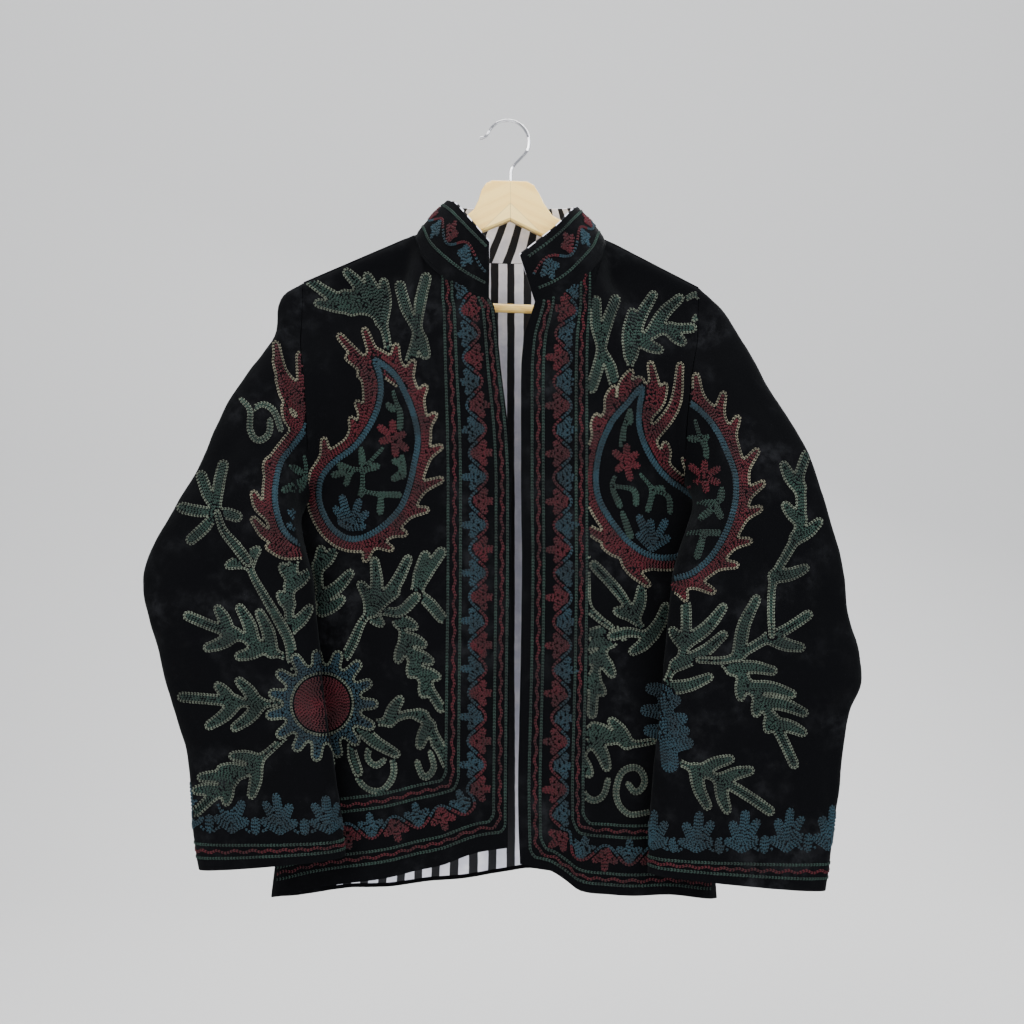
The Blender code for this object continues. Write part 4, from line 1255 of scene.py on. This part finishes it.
# sprays: a stem and the tips of its fingers
sprays = {
    "sleeve_right": (
        (((217, 512), (223, 530), (236, 546), (248, 562)), ()),
        (((248, 562), (254, 578), (268, 602), (288, 638), (292, 660)), ((260, 546), (224, 566))),
        (((293, 668), (290, 630), (289, 600), (292, 575), (295, 552)),
         ((279, 563), (312, 570), (277, 591), (313, 605))),
        (((294, 660), (268, 650), (240, 636), (212, 626), (188, 616)),
         ((216, 604), (238, 603), (258, 608), (203, 650), (234, 658))),
        (((284, 702), (262, 704), (236, 702), (208, 699), (182, 697)),
         ((215, 682), (236, 677), (205, 729), (231, 731))),
        (((286, 736), (268, 752), (248, 768), (222, 788), (196, 812)),
         ((228, 755), (216, 768), (196, 777), (191, 790), (226, 807), (251, 800))),
    ),
    "front_right": (
        (((389, 366), (387, 340), (380, 318), (366, 300), (344, 294)),
         ((305, 279), (344, 268), (366, 271), (384, 277), (313, 303), (338, 307), (347, 315))),
        (((372, 610), (362, 622), (354, 640), (346, 656)),
         ((359, 580), (375, 556), (411, 555), (400, 590))),
        (((366, 612), (384, 611), (400, 612), (416, 597)), ((384, 627),)),
        (((396, 612), (402, 630), (411, 652), (425, 682), (441, 708)),
         ((396, 664), (419, 628), (428, 646), (435, 663), (442, 678), (409, 679), (422, 699))),
        (((356, 722), (384, 722), (408, 714), (424, 718), (438, 744), (454, 780)),
         ((402, 695), (430, 714), (445, 745), (418, 750), (400, 757))),
        (((322, 610), (320, 592), (318, 572), (321, 550)), ((338, 546), (354, 570), (346, 597))),
        (((352, 728), (352, 752), (358, 772)), ()),
    ),
    "front_left": (
        (((630, 368), (632, 350), (643, 338), (660, 330), (692, 328)),
         ((632, 307), (655, 290), (683, 294), (686, 346), (664, 352))),
        (((652, 634), (640, 634), (628, 632), (612, 636)), ((629, 655), (668, 602))),
        (((654, 634), (640, 626), (620, 594), (594, 565)), ((643, 583), (612, 610))),
        (((612, 628), (596, 616), (587, 604), (585, 580), (585, 556)), ()),
        (((626, 632), (608, 644), (596, 668), (592, 714)),
         ((582, 634), (580, 648), (582, 664), (580, 690), (606, 696), (615, 678))),
        (((654, 741), (632, 744), (610, 738), (592, 742), (580, 756), (573, 786)),
         ((589, 723), (609, 717), (576, 730), (592, 778), (609, 772))),
    ),
    "sleeve_left": (
        (((772, 636), (771, 606), (774, 578), (788, 552), (799, 530), (801, 500), (799, 478), (806, 455)),
         ((781, 461), (823, 519), (782, 502), (810, 567))),
        (((698, 660), (726, 660), (744, 652), (764, 640), (785, 630), (808, 615)),
         ((758, 594), (806, 649))),
        (((716, 660), (736, 672), (752, 690), (768, 712), (782, 738), (794, 764)),
         ((778, 671), (740, 702), (755, 718), (766, 734), (797, 695), (809, 714), (808, 734))),
        (((664, 688), (672, 670), (682, 656), (686, 630), (686, 605)),
         ((669, 627), (727, 604), (728, 632), (714, 676))),
        (((674, 760), (692, 768), (716, 778), (742, 792), (770, 811)),
         ((735, 757), (755, 769), (728, 815), (709, 811))),
    ),
}

# plain crossing or forked leaves, and the open finger shapes, as start and tip
leaves = {
    "sleeve_right": (
        ((217, 512), (224, 459)), ((217, 512), (199, 470)), ((217, 512), (176, 507)),
        ((217, 512), (187, 544)), ((217, 512), (243, 518)),
    ),
    "front_right": (
        ((416, 330), (398, 280)), ((418, 330), (427, 272)), ((416, 326), (427, 360)),
        ((417, 330), (403, 385)), ((415, 596), (427, 550)), ((416, 597), (444, 547)),
        ((414, 590), (446, 622)),
    ),
    "front_left": (
        ((601, 350), (595, 295)), ((602, 350), (617, 294)), ((601, 346), (590, 394)),
        ((604, 352), (616, 388)),
    ),
    "sleeve_left": (),
}

# curls, as lines
curls = {
    "sleeve_right": (
        ((241, 399), (250, 410), (250, 430), (258, 441), (269, 434), (270, 420)),
        ((250, 412), (262, 404), (274, 411), (281, 430)),
    ),
    "front_right": (
        (
            (352, 745), (354, 770), (366, 788), (383, 790), (394, 772), (388, 748), (374, 743),
            (367, 757), (376, 766), (384, 760),
        ),
        ((430, 752), (434, 768), (424, 778), (417, 762)),
    ),
    "front_left": (
        ((649, 812), (628, 814), (616, 796), (622, 772), (638, 768), (645, 782), (636, 793), (628, 784)),
        ((578, 752), (579, 782), (590, 800), (603, 796), (608, 780)),
        ((684, 300), (697, 294), (702, 308), (694, 320)),
    ),
    "sleeve_left": (),
}

# A paisley: its inner ring from the tip round to the tip, how far along that ring the flames
# turn over, and the flames' tips.
paisleys = {
    "front_right": {
        "ring": (
            (375, 360), (395, 375), (406, 395), (414, 416), (418, 440), (414, 465), (409, 487),
            (401, 507), (386, 524), (367, 536), (350, 539), (335, 531), (324, 515), (319, 496),
            (322, 477), (334, 462), (353, 448), (367, 430), (377, 410), (381, 390), (379, 372),
        ),
        "root": 0.47, "closed": True,
        "flames": (
            (338, 332), (362, 327), (395, 342), (413, 358), (426, 383), (436, 411), (443, 444),
            (444, 477), (430, 508), (409, 533), (395, 549), (363, 563), (345, 354), (356, 373),
            (356, 399), (351, 415), (325, 436),
        ),
    },
    "front_left": {
        "ring": (
            (642, 387), (627, 404), (613, 420), (602, 443), (597, 464), (596, 485), (601, 504),
            (615, 526), (631, 544), (652, 556), (675, 557), (696, 546), (704, 524), (697, 502),
            (682, 489), (669, 480), (655, 464), (644, 443), (639, 424), (640, 404),
        ),
        "root": 0.46, "closed": True,
        "flames": (
            (682, 361), (651, 360), (632, 368), (614, 384), (596, 412), (586, 446), (583, 490),
            (583, 526), (600, 545), (621, 565), (650, 588), (667, 382), (652, 402), (654, 424),
            (666, 440), (684, 455),
        ),
    },
    "sleeve_right": {
        "ring": (
            (308, 356), (309, 392), (307, 424), (292, 447), (281, 462), (276, 481), (275, 500),
            (279, 520), (288, 536), (305, 546), (322, 548),
        ),
        "root": 0.98, "closed": False,
        "flames": (
            (274, 340), (273, 357), (276, 376), (282, 403), (267, 456), (251, 490), (250, 517),
            (264, 546),
        ),
    },
    "sleeve_left": {
        "ring": (
            (686, 400), (703, 413), (717, 431), (727, 452), (735, 474), (736, 497), (731, 519),
            (723, 538), (710, 558), (692, 573), (672, 579),
        ),
        "root": 0.98, "closed": False,
        "flames": (
            (694, 372), (723, 390), (738, 414), (758, 447), (765, 480), (763, 506), (753, 539),
            (740, 564), (717, 592), (688, 602),
        ),
    },
}

# small flowers: middle and petal tips
flowers = {
    "front_right": (
        ((394, 438), ((377, 425), (392, 419), (407, 433), (409, 451), (396, 458), (378, 442))),
    ),
    "front_left": (
        ((626, 462), ((612, 450), (627, 443), (639, 452), (641, 467), (631, 482), (615, 472))),
    ),
    "sleeve_left": (
        ((704, 477), ((688, 464), (705, 459), (721, 467), (721, 484), (707, 494), (687, 489))),
    ),
    "sleeve_right": (),
}

# small green twigs inside the paisleys, as lines
twigs = {
    "front_right": (
        ((393, 391), (396, 402), (400, 412), (400, 428)), ((387, 404), (396, 412)),
        ((361, 448), (363, 468)), ((383, 448), (364, 470), (362, 490), (352, 526)),
        ((363, 470), (381, 465)), ((362, 470), (352, 470), (346, 484)), ((352, 470), (330, 476)),
        ((352, 470), (336, 464)), ((402, 456), (403, 480)), ((403, 464), (391, 460)),
        ((403, 472), (391, 481)), ((362, 491), (378, 494), (401, 495)), ((381, 496), (380, 516)),
    ),
    "front_left": (
        ((630, 410), (624, 428), (622, 446)), ((630, 411), (630, 426)),
        ((616, 474), (612, 486), (620, 506)), ((613, 486), (634, 490), (636, 504)),
        ((640, 474), (652, 490), (648, 510)), ((652, 490), (666, 488)),
        ((652, 490), (668, 496), (670, 512)), ((622, 512), (632, 540)),
    ),
    "sleeve_left": (
        ((695, 420), (699, 434), (706, 448), (706, 458)), ((688, 438), (700, 440)),
        ((708, 436), (702, 442)), ((722, 488), (720, 503)), ((698, 503), (720, 503)),
        ((716, 506), (698, 520)), ((716, 506), (722, 520)), ((690, 505), (677, 511)),
        ((672, 541), (691, 533), (722, 533)), ((704, 534), (696, 560)),
    ),
    "sleeve_right": (
        ((304, 456), (306, 470), (302, 488), (294, 491)), ((290, 466), (304, 474)),
        ((303, 480), (281, 492)),
    ),
}

# blue fans: base, tips
fans = {
    "front_right": (
        ((351, 527), ((333, 506), (341, 494), (360, 498), (369, 511), (367, 526), (337, 520))),
    ),
    "front_left": (
        ((652, 548), ((638, 514), (650, 518), (667, 518), (671, 536), (636, 532))),
    ),
    "sleeve_left": (),
    "sleeve_right": (
        ((306, 532), ((288, 508), (313, 502), (286, 524), (322, 518))),
    ),
}

# the round flower that the right sleeve's edge runs over, and the lobed one on the left
rosette = {
    "middle": (322, 704), "disc": 28.0, "ring": 32.5, "petals": 15, "reach": 57,
    "petal": (7.0, 8.5, 6.0), "root": 8,
}
lobedFlower = {
    "middle": 667, "stemWidths": (7.0, 8.0, 9.0), "lobeWidths": (6.0, 7.5, 6.0), "bow": 0.05,
    "stem": ((664, 694), (667, 720), (668, 745), (670, 764)),
    "lobes": ((645, 687), (640, 709), (643, 729), (681, 698), (688, 717), (694, 742), (690, 730)),
}


def curveOutward(ring):
    way = np.gradient(ring, axis=0)
    way /= np.linalg.norm(way, axis=1, keepdims=True)
    turned = np.column_stack((way[:, 1], -way[:, 0]))
    following = np.roll(ring, -1, axis=0)
    area = (ring[:, 0] * following[:, 1] - following[:, 0] * ring[:, 1]).sum()
    return turned if area > 0 else -turned


flameSettings = {"lean": 1.35, "widths": (8.0, 7.4, 6.2, 4.4), "bow": 0.13, "band": 14, "ring": 3.2}


def sewPaisley(hoop, drawing):
    ring = smoothLine(drawing["ring"], 2.0, drawing["closed"])
    outward = curveOutward(ring)
    band, width = flameSettings["band"], flameSettings["ring"]
    hoop.fill([limb(drawing["ring"], (width, width), drawing["closed"])], "blue")
    middle = ring + outward * band * 0.42
    parts = [limb(middle[::3], (band * 0.5, band * 0.56, band * 0.5))]
    root = int(drawing["root"] * len(ring))
    for x, y in drawing["flames"]:
        near = int(np.argmin(np.hypot(middle[:, 0] - x, middle[:, 1] - y)))
        gap = math.hypot(middle[near, 0] - x, middle[near, 1] - y)
        toRoot = 1 if near < root else -1
        back = int(flameSettings["lean"] * gap / 2.0) * toRoot
        start = middle[min(max(near + back, 0), len(middle) - 1)]
        parts.append(finger(start, (x, y), flameSettings["widths"], flameSettings["bow"] * toRoot))
    hoop.fill(parts, "beige", "red")


def sewRosette(hoop, middle):
    drawing = rosette
    x, y = middle
    hoop.fill([disc(middle, drawing["disc"])], "red")
    hoop.fill([disc(middle, drawing["ring"])], "sage", most=1)
    tips = []
    for turn in np.linspace(0, math.tau, drawing["petals"], endpoint=False):
        reach = drawing["reach"] * (1 + 0.03 * math.sin(5 * turn))
        tips.append((x + math.cos(turn) * reach, y + math.sin(turn) * reach))
    petals = star((x, y), tips, drawing["petal"])
    hoop.fill(petals + [disc(middle, drawing["ring"] + drawing["root"])], "sage", "blue")


# everything that one panel's own drawing holds
def sewMotifs(hoop, node):
    for base, tips in fans[node]:
        hoop.fill(star(base, tips, motifWidths["fan"]), "blue")
    for middle, tips in flowers[node]:
        hoop.fill(star(middle, tips, motifWidths["flower"]), "red")
    if node in paisleys:
        sewPaisley(hoop, paisleys[node])
    if twigs[node]:
        stalks = [limb(places, motifWidths["stalk"]) for places in twigs[node] if len(places) > 2]
        buds = [finger(*places, motifWidths["bud"]) for places in twigs[node] if len(places) == 2]
        hoop.fill(stalks + buds, "green")
    for stem, tips in sprays[node]:
        hoop.fill(spray(stem, tips), "sage", "green")
    if leaves[node]:
        parts = [finger(start, tip, motifWidths["leaf"], 0.04) for start, tip in leaves[node]]
        hoop.fill(parts, "sage", "green")
    for places in curls[node]:
        hoop.fill([limb(places, motifWidths["curl"])], "sage", "green")


# the flower that a side's front and sleeve share
def sewEdgeFlower(hoop, node):
    if node.endswith("right"):
        sewRosette(hoop, rosette["middle"])
        return
    drawing = lobedFlower
    middle = drawing["middle"]
    parts = [limb(drawing["stem"], drawing["stemWidths"])]
    for x, y in drawing["lobes"]:
        bow = drawing["bow"] if x > middle else -drawing["bow"]
        parts.append(finger((middle, y + 6), (x, y), drawing["lobeWidths"], bow))
    hoop.fill(parts, "blue")


# where a line of points lies in the photograph
def project(places):
    x, y, z = view["place"]
    away = places[:, 1] - y
    size = view["lens"] / view["sensor"] * view["pixels"]
    half = view["pixels"] / 2
    across, up = places[:, 0] - x, places[:, 2] - z
    return np.column_stack((half + across / away * size, half - up / away * size))


borderSettings = {
    # from the opening inwards and from the hem upwards, as pairs
    "front_right": {
        "red": ((8.5, 23), (56, 78)), "green": ((3, 17), (14.5, 29), (50, 72), (62.5, 85)),
        "flowers": (32, 51), "side": 270,
    },
    "front_left": {
        "red": ((17, 15), (59.5, 64)), "green": ((11, 10), (22, 21), (54.5, 58), (65, 70)),
        "flowers": (41, 40), "side": 725,
    },
    "level": 560, "stiffness": 0.012, "top": 262, "period": 48.0, "swing": 9.0,
    "reach": 21.0, "lobes": 3, "spread": 0.82, "lobe": (4.6, 4.0, 3.8), "wave": 1.3, "wavePeriod": 17.0,
}


# down beside the opening, round the corner and along the hem
def borderPath(node, inset, rise):
    grid = surfaces[node]["grid"]
    right = node == "front_right"
    edge = project(grid[:, -1] if right else grid[:, 0])
    hem = project(grid[-1])
    hem = hem[np.argsort(hem[:, 0])]
    way = -1 if right else 1
    cornerX = edge[-1, 0] + way * inset
    cornerY = np.interp(cornerX, hem[:, 0], hem[:, 1]) - rise
    heights = np.arange(borderSettings["top"], cornerY - 4, 6.0)
    level = borderSettings["level"]
    straight = np.interp(level, edge[:, 1], edge[:, 0])
    lean = np.interp(heights, edge[:, 1], edge[:, 0]) - straight
    lean *= np.where(heights > level, 1, 1 - inset * borderSettings["stiffness"])
    down = np.column_stack((straight + lean + way * inset, heights))
    side = borderSettings[node]["side"]
    places = np.arange(cornerX + way * 4, side, way * 6.0)
    along = np.column_stack((places, np.interp(places, hem[:, 0], hem[:, 1]) - rise))
    return np.concatenate((down, along))


# A wavy stem between two rows of fans: red ones towards the edge, blue ones away from it.
# Where the stem cups a fan it has the other one's colour.
def sewWavyBorder(hoop, path, edgeSide, settings):
    path = smoothLine(path, 1.0)
    way = np.gradient(path, axis=0)
    way /= np.linalg.norm(way, axis=1, keepdims=True)
    side = np.column_stack((-way[:, 1], way[:, 0])) * edgeSide
    period, swing = settings["period"], settings["swing"]
    along = np.arange(len(path))
    phase = np.cos(math.tau * along / period)
    wave = path + side * (-swing * phase)[:, None]
    turns = np.flatnonzero(np.diff(np.sign(phase))) + 1
    for start, end in zip([0, *turns], [*turns, len(path) - 1]):
        hoop.sew(wave[start:end + 1], "blue" if phase[(start + end) // 2] > 0 else "red")
    hoop.cover(wave)
    for start, thread, sign in ((0, "red", 1), (period / 2, "blue", -1)):
        for spot in np.arange(start + 8, len(path) - 6, period):
            at = int(spot - 8)
            if at < 4:
                continue
            base = wave[at] + side[at] * sign * (settings["lobe"][0] + 1.4)
            parts = fan(base, side[at] * sign, settings["reach"], settings["lobes"], settings["spread"],
                        settings["lobe"])
            hoop.fill(parts, thread)


def sewFrontBorder(hoop, node):
    settings = borderSettings
    mine = settings[node]
    edgeSide = -1 if node == "front_right" else 1
    for inset, rise in mine["green"]:
        hoop.line(borderPath(node, inset, rise), "green")
    for inset, rise in mine["red"]:
        hoop.line(borderPath(node, inset, rise), "red", settings["wave"], settings["wavePeriod"])
    sewWavyBorder(hoop, borderPath(node, *mine["flowers"]), edgeSide, settings)
    outer, inner = np.array(mine["green"][0]), np.array(mine["green"][-1])
    for share in np.linspace(0, 1, 60):
        hoop.cover(borderPath(node, *(outer + (inner - outer) * share)))


# a line that keeps one height
def levelLine(across, height):
    return np.column_stack((across, np.full(len(across), float(height))))


cuffSettings = {
    "lines": (("green", 10, 0), ("red", 15.5, 1.2), ("green", 21, 0)), "wavePeriod": 16.0,
    "scroll": 31, "palmSpacing": 43.0, "lobe": (3.8, 4.9, 4.5),
    "palm": ((0, 42), (-13, 33), (13, 32), (-18, 15), (18, 14)),
    "single": 17, "bud": (4.0, 4.8, 4.6), "shift": {"sleeve_right": 6.0, "sleeve_left": 14.0},
}


# lines, a scroll and palms all round a cuff, by the cloth's own measure
def sewCuff(hoop, around, shift):
    settings = cuffSettings
    whole = np.arange(0, around + 6, 6.0)
    for thread, rise, wave in settings["lines"]:
        hoop.line(levelLine(whole, rise), thread, wave, settings["wavePeriod"])
    count = round(around / settings["palmSpacing"])
    spacing = around / count
    rise = settings["scroll"]
    for index in range(count):
        x = (shift + index * spacing) % around
        tips = [(x + across, rise + up) for across, up in settings["palm"]]
        hoop.fill(star((x, rise + 5), tips, settings["lobe"]), "blue")
        beside = x + spacing / 2
        bud = finger((beside, rise + 3), (beside + 1, rise + settings["single"]), settings["bud"])
        hoop.fill([bud], "blue")
    scroll = np.arange(0, around, 3.0)
    swing = rise + 2.5 - 3.0 * np.cos(math.tau * 2 * (scroll - shift) / spacing)
    hoop.line(np.column_stack((scroll, swing)), "blue")


collarBorder = {
    "lowerLine": 12.0, "upperLine": 7.5, "period": 56.0, "swing": 6.5, "reach": 16.5, "lobes": 3,
    "spread": 0.86, "lobe": (4.2, 3.8, 3.6), "end": 4.0,
}


def sewCollar(hoop, around, height):
    settings = collarBorder
    low, high = settings["lowerLine"], height - settings["upperLine"]
    end = settings["end"]
    across = np.arange(end, around - end, 6.0)
    hoop.line(levelLine(across, low), "green")
    hoop.line(levelLine(across, high), "green")
    sewWavyBorder(hoop, levelLine(across, (low + high) / 2 - 0.5), 1, settings)


backSettings = {
    "lines": (("green", 11, 0), ("red", 17, 1.3), ("green", 22, 0), ("green", 58, 0), ("red", 64, 1.3),
              ("green", 70, 0)),
    "flowers": 40,
    "rosette": (512, 452),
    "sprays": (
        (((512, 394), (512, 360), (511, 330), (512, 290)),
         ((492, 372), (532, 372), (488, 344), (536, 344), (491, 316), (533, 316), (498, 292), (526, 292))),
        (((512, 512), (512, 560), (511, 610), (512, 664), (512, 740)),
         ((480, 560), (544, 560), (474, 600), (550, 600), (472, 640), (552, 640), (476, 682), (548, 682),
          (484, 716), (540, 716))),
    ),
    "curls": (
        ((500, 744), (484, 756), (468, 748), (470, 732), (482, 732)),
        ((524, 744), (540, 756), (556, 748), (554, 732), (542, 732)),
    ),
}


def sewBack(hoop, hem, around):
    settings = backSettings
    across = np.arange(0, around + 6, 6.0)
    for thread, rise, wave in settings["lines"]:
        hem.line(levelLine(across, rise), thread, wave, borderSettings["wavePeriod"])
    sewWavyBorder(hem, levelLine(across, settings["flowers"]), -1, borderSettings)
    sewRosette(hoop, settings["rosette"])
    for stem, tips in settings["sprays"]:
        hoop.fill(spray(stem, tips), "sage", "green")
    for places in settings["curls"]:
        hoop.fill([limb(places, motifWidths["curl"])], "sage", "green")
    for node in ("front_right", "front_left"):
        sewMotifs(hoop, node)


# a hoop whose drawing is by the cloth's own measure, and the cloth's width and height
def cutHoop(node):
    carry, around, height = byCut(node)
    return Hoop(node, carry, (-10, -10), (700, 700)), around, height


def embroider(threads):
    hoops = []
    for node in ("front_right", "front_left", "sleeve_right", "sleeve_left"):
        hoop = Hoop(node, fromCamera(node))
        sewEdgeFlower(hoop, node)
        if node.startswith("front"):
            sewFrontBorder(hoop, node)
        sewMotifs(hoop, node)
        hoops.append(hoop)
    for node in ("sleeve_right", "sleeve_left"):
        behind = Hoop(node, fromBehind(node))
        sewEdgeFlower(behind, node)
        sewMotifs(behind, node)
        cuff, around, height = cutHoop(node)
        sewCuff(cuff, around, cuffSettings["shift"][node])
        hoops += [behind, cuff]
    collar, around, height = cutHoop("collar")
    sewCollar(collar, around, height)
    back = Hoop("back", fromBehind("back"))
    hem, around, height = cutHoop("back")
    sewBack(back, hem, around)
    sewAll(hoops + [collar, back, hem], threads)


print("materials")
velvet = velvetMaterial()
stripes = liningMaterial("striped lining", liningLook["shift"], 0.0)
collarStripes = liningMaterial("striped collar lining", 0.003, liningLook["collarSlant"])
wood = woodMaterial()
steel = steelMaterial()

print("cloth")
for node, settings in panels.items():
    makePanel(node, settings, (velvet, velvet if node == "back" else stripes))
for node, settings in sleeves.items():
    makeSleeve(node, settings, velvet)
makeCollar(collarSettings, velvet)
makeLinings(stripes, collarStripes)

print("embroidery")
embroider({name: threadMaterial(name, colour) for name, colour in threadColours.items()})

print("hanger")
for node, finish in (("hanger_wood", wood), ("hanger_bar", wood), ("hanger_hook", steel)):
    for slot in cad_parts[node].material_slots:
        slot.material = finish


# floor and backdrop
stageSettings = {
    "floor": -1.16,
    "wall": 2.4,
    "reach": 3.6,
    "halfWidth": 5.0,
    "bend": 0.9,
    "colour": (0.58, 0.58, 0.58, 1),
}


# both in one bent sheet
def addStage():
    settings = stageSettings
    shape = bmesh.new()
    profile = [(-settings["reach"], settings["floor"])]
    for step in range(13):
        turn = math.pi / 2 * step / 12
        profile.append((
            settings["wall"] - settings["bend"] * (1 - math.sin(turn)),
            settings["floor"] + settings["bend"] * (1 - math.cos(turn)),
        ))
    profile.append((settings["wall"], settings["floor"] + settings["reach"]))
    line = [shape.verts.new((-settings["halfWidth"], y, z)) for y, z in profile]
    edges = [shape.edges.new(pair) for pair in zip(line, line[1:])]
    pulled = bmesh.ops.extrude_edge_only(shape, edges=edges)["geom"]
    moved = [one for one in pulled if isinstance(one, bmesh.types.BMVert)]
    bmesh.ops.translate(shape, verts=moved, vec=(2 * settings["halfWidth"], 0, 0))
    bmesh.ops.recalc_face_normals(shape, faces=shape.faces)
    mesh = bpy.data.meshes.new("backdrop")
    shape.to_mesh(mesh)
    shape.free()
    mesh.shade_smooth()
    made, shader, start = startMaterial("backdrop paper", {
        "Roughness": 0.9,
        "Specular IOR Level": 0.1,
        "Base Color": settings["colour"],
    })
    mesh.materials.append(made)
    backdrop = bpy.data.objects.new("backdrop", mesh)
    bpy.context.collection.objects.link(backdrop)


lamps = (
    # name, place, aims at, width, height, watts, colour
    ("key", (-1.1, -2.1, 0.9), (0, 0, -0.4), 1.6, 1.2, 70, (1.0, 0.98, 0.95)),
    ("fill", (1.5, -1.9, 0.3), (0, 0, -0.45), 1.8, 1.4, 40, (0.94, 0.97, 1.0)),
    ("front", (0.1, -2.6, -0.5), (0, 0, -0.45), 1.6, 1.4, 28, (1.0, 1.0, 1.0)),
    ("top", (0, -0.1, 1.5), (0, 0, -0.3), 1.6, 1.2, 30, (1.0, 1.0, 1.0)),
    ("behind", (0.5, 1.9, 0.7), (0, 0, -0.4), 1.6, 1.2, 60, (1.0, 0.99, 0.97)),
    ("wall", (0, 0.6, 2.3), (0, 2.4, -0.6), 5.0, 1.0, 70, (1.0, 1.0, 1.0)),
)


def addLamps():
    for name, place, aim, width, height, watts, colour in lamps:
        data = bpy.data.lights.new(name, "AREA")
        data.shape = "RECTANGLE"
        data.size, data.size_y = width, height
        data.energy = watts
        data.color = colour
        lamp = bpy.data.objects.new(name, data)
        lamp.location = place
        lamp.rotation_euler = (Vector(aim) - Vector(place)).to_track_quat("-Z", "Y").to_euler()
        bpy.context.collection.objects.link(lamp)
    world = bpy.data.worlds.new("room")
    world.use_nodes = True
    sky = world.node_tree.nodes["Background"]
    sky.inputs["Color"].default_value = (0.9, 0.93, 1.0, 1)
    sky.inputs["Strength"].default_value = 0.62
    bpy.context.scene.world = world


print("stage")
addStage()
addLamps()
addCamera()
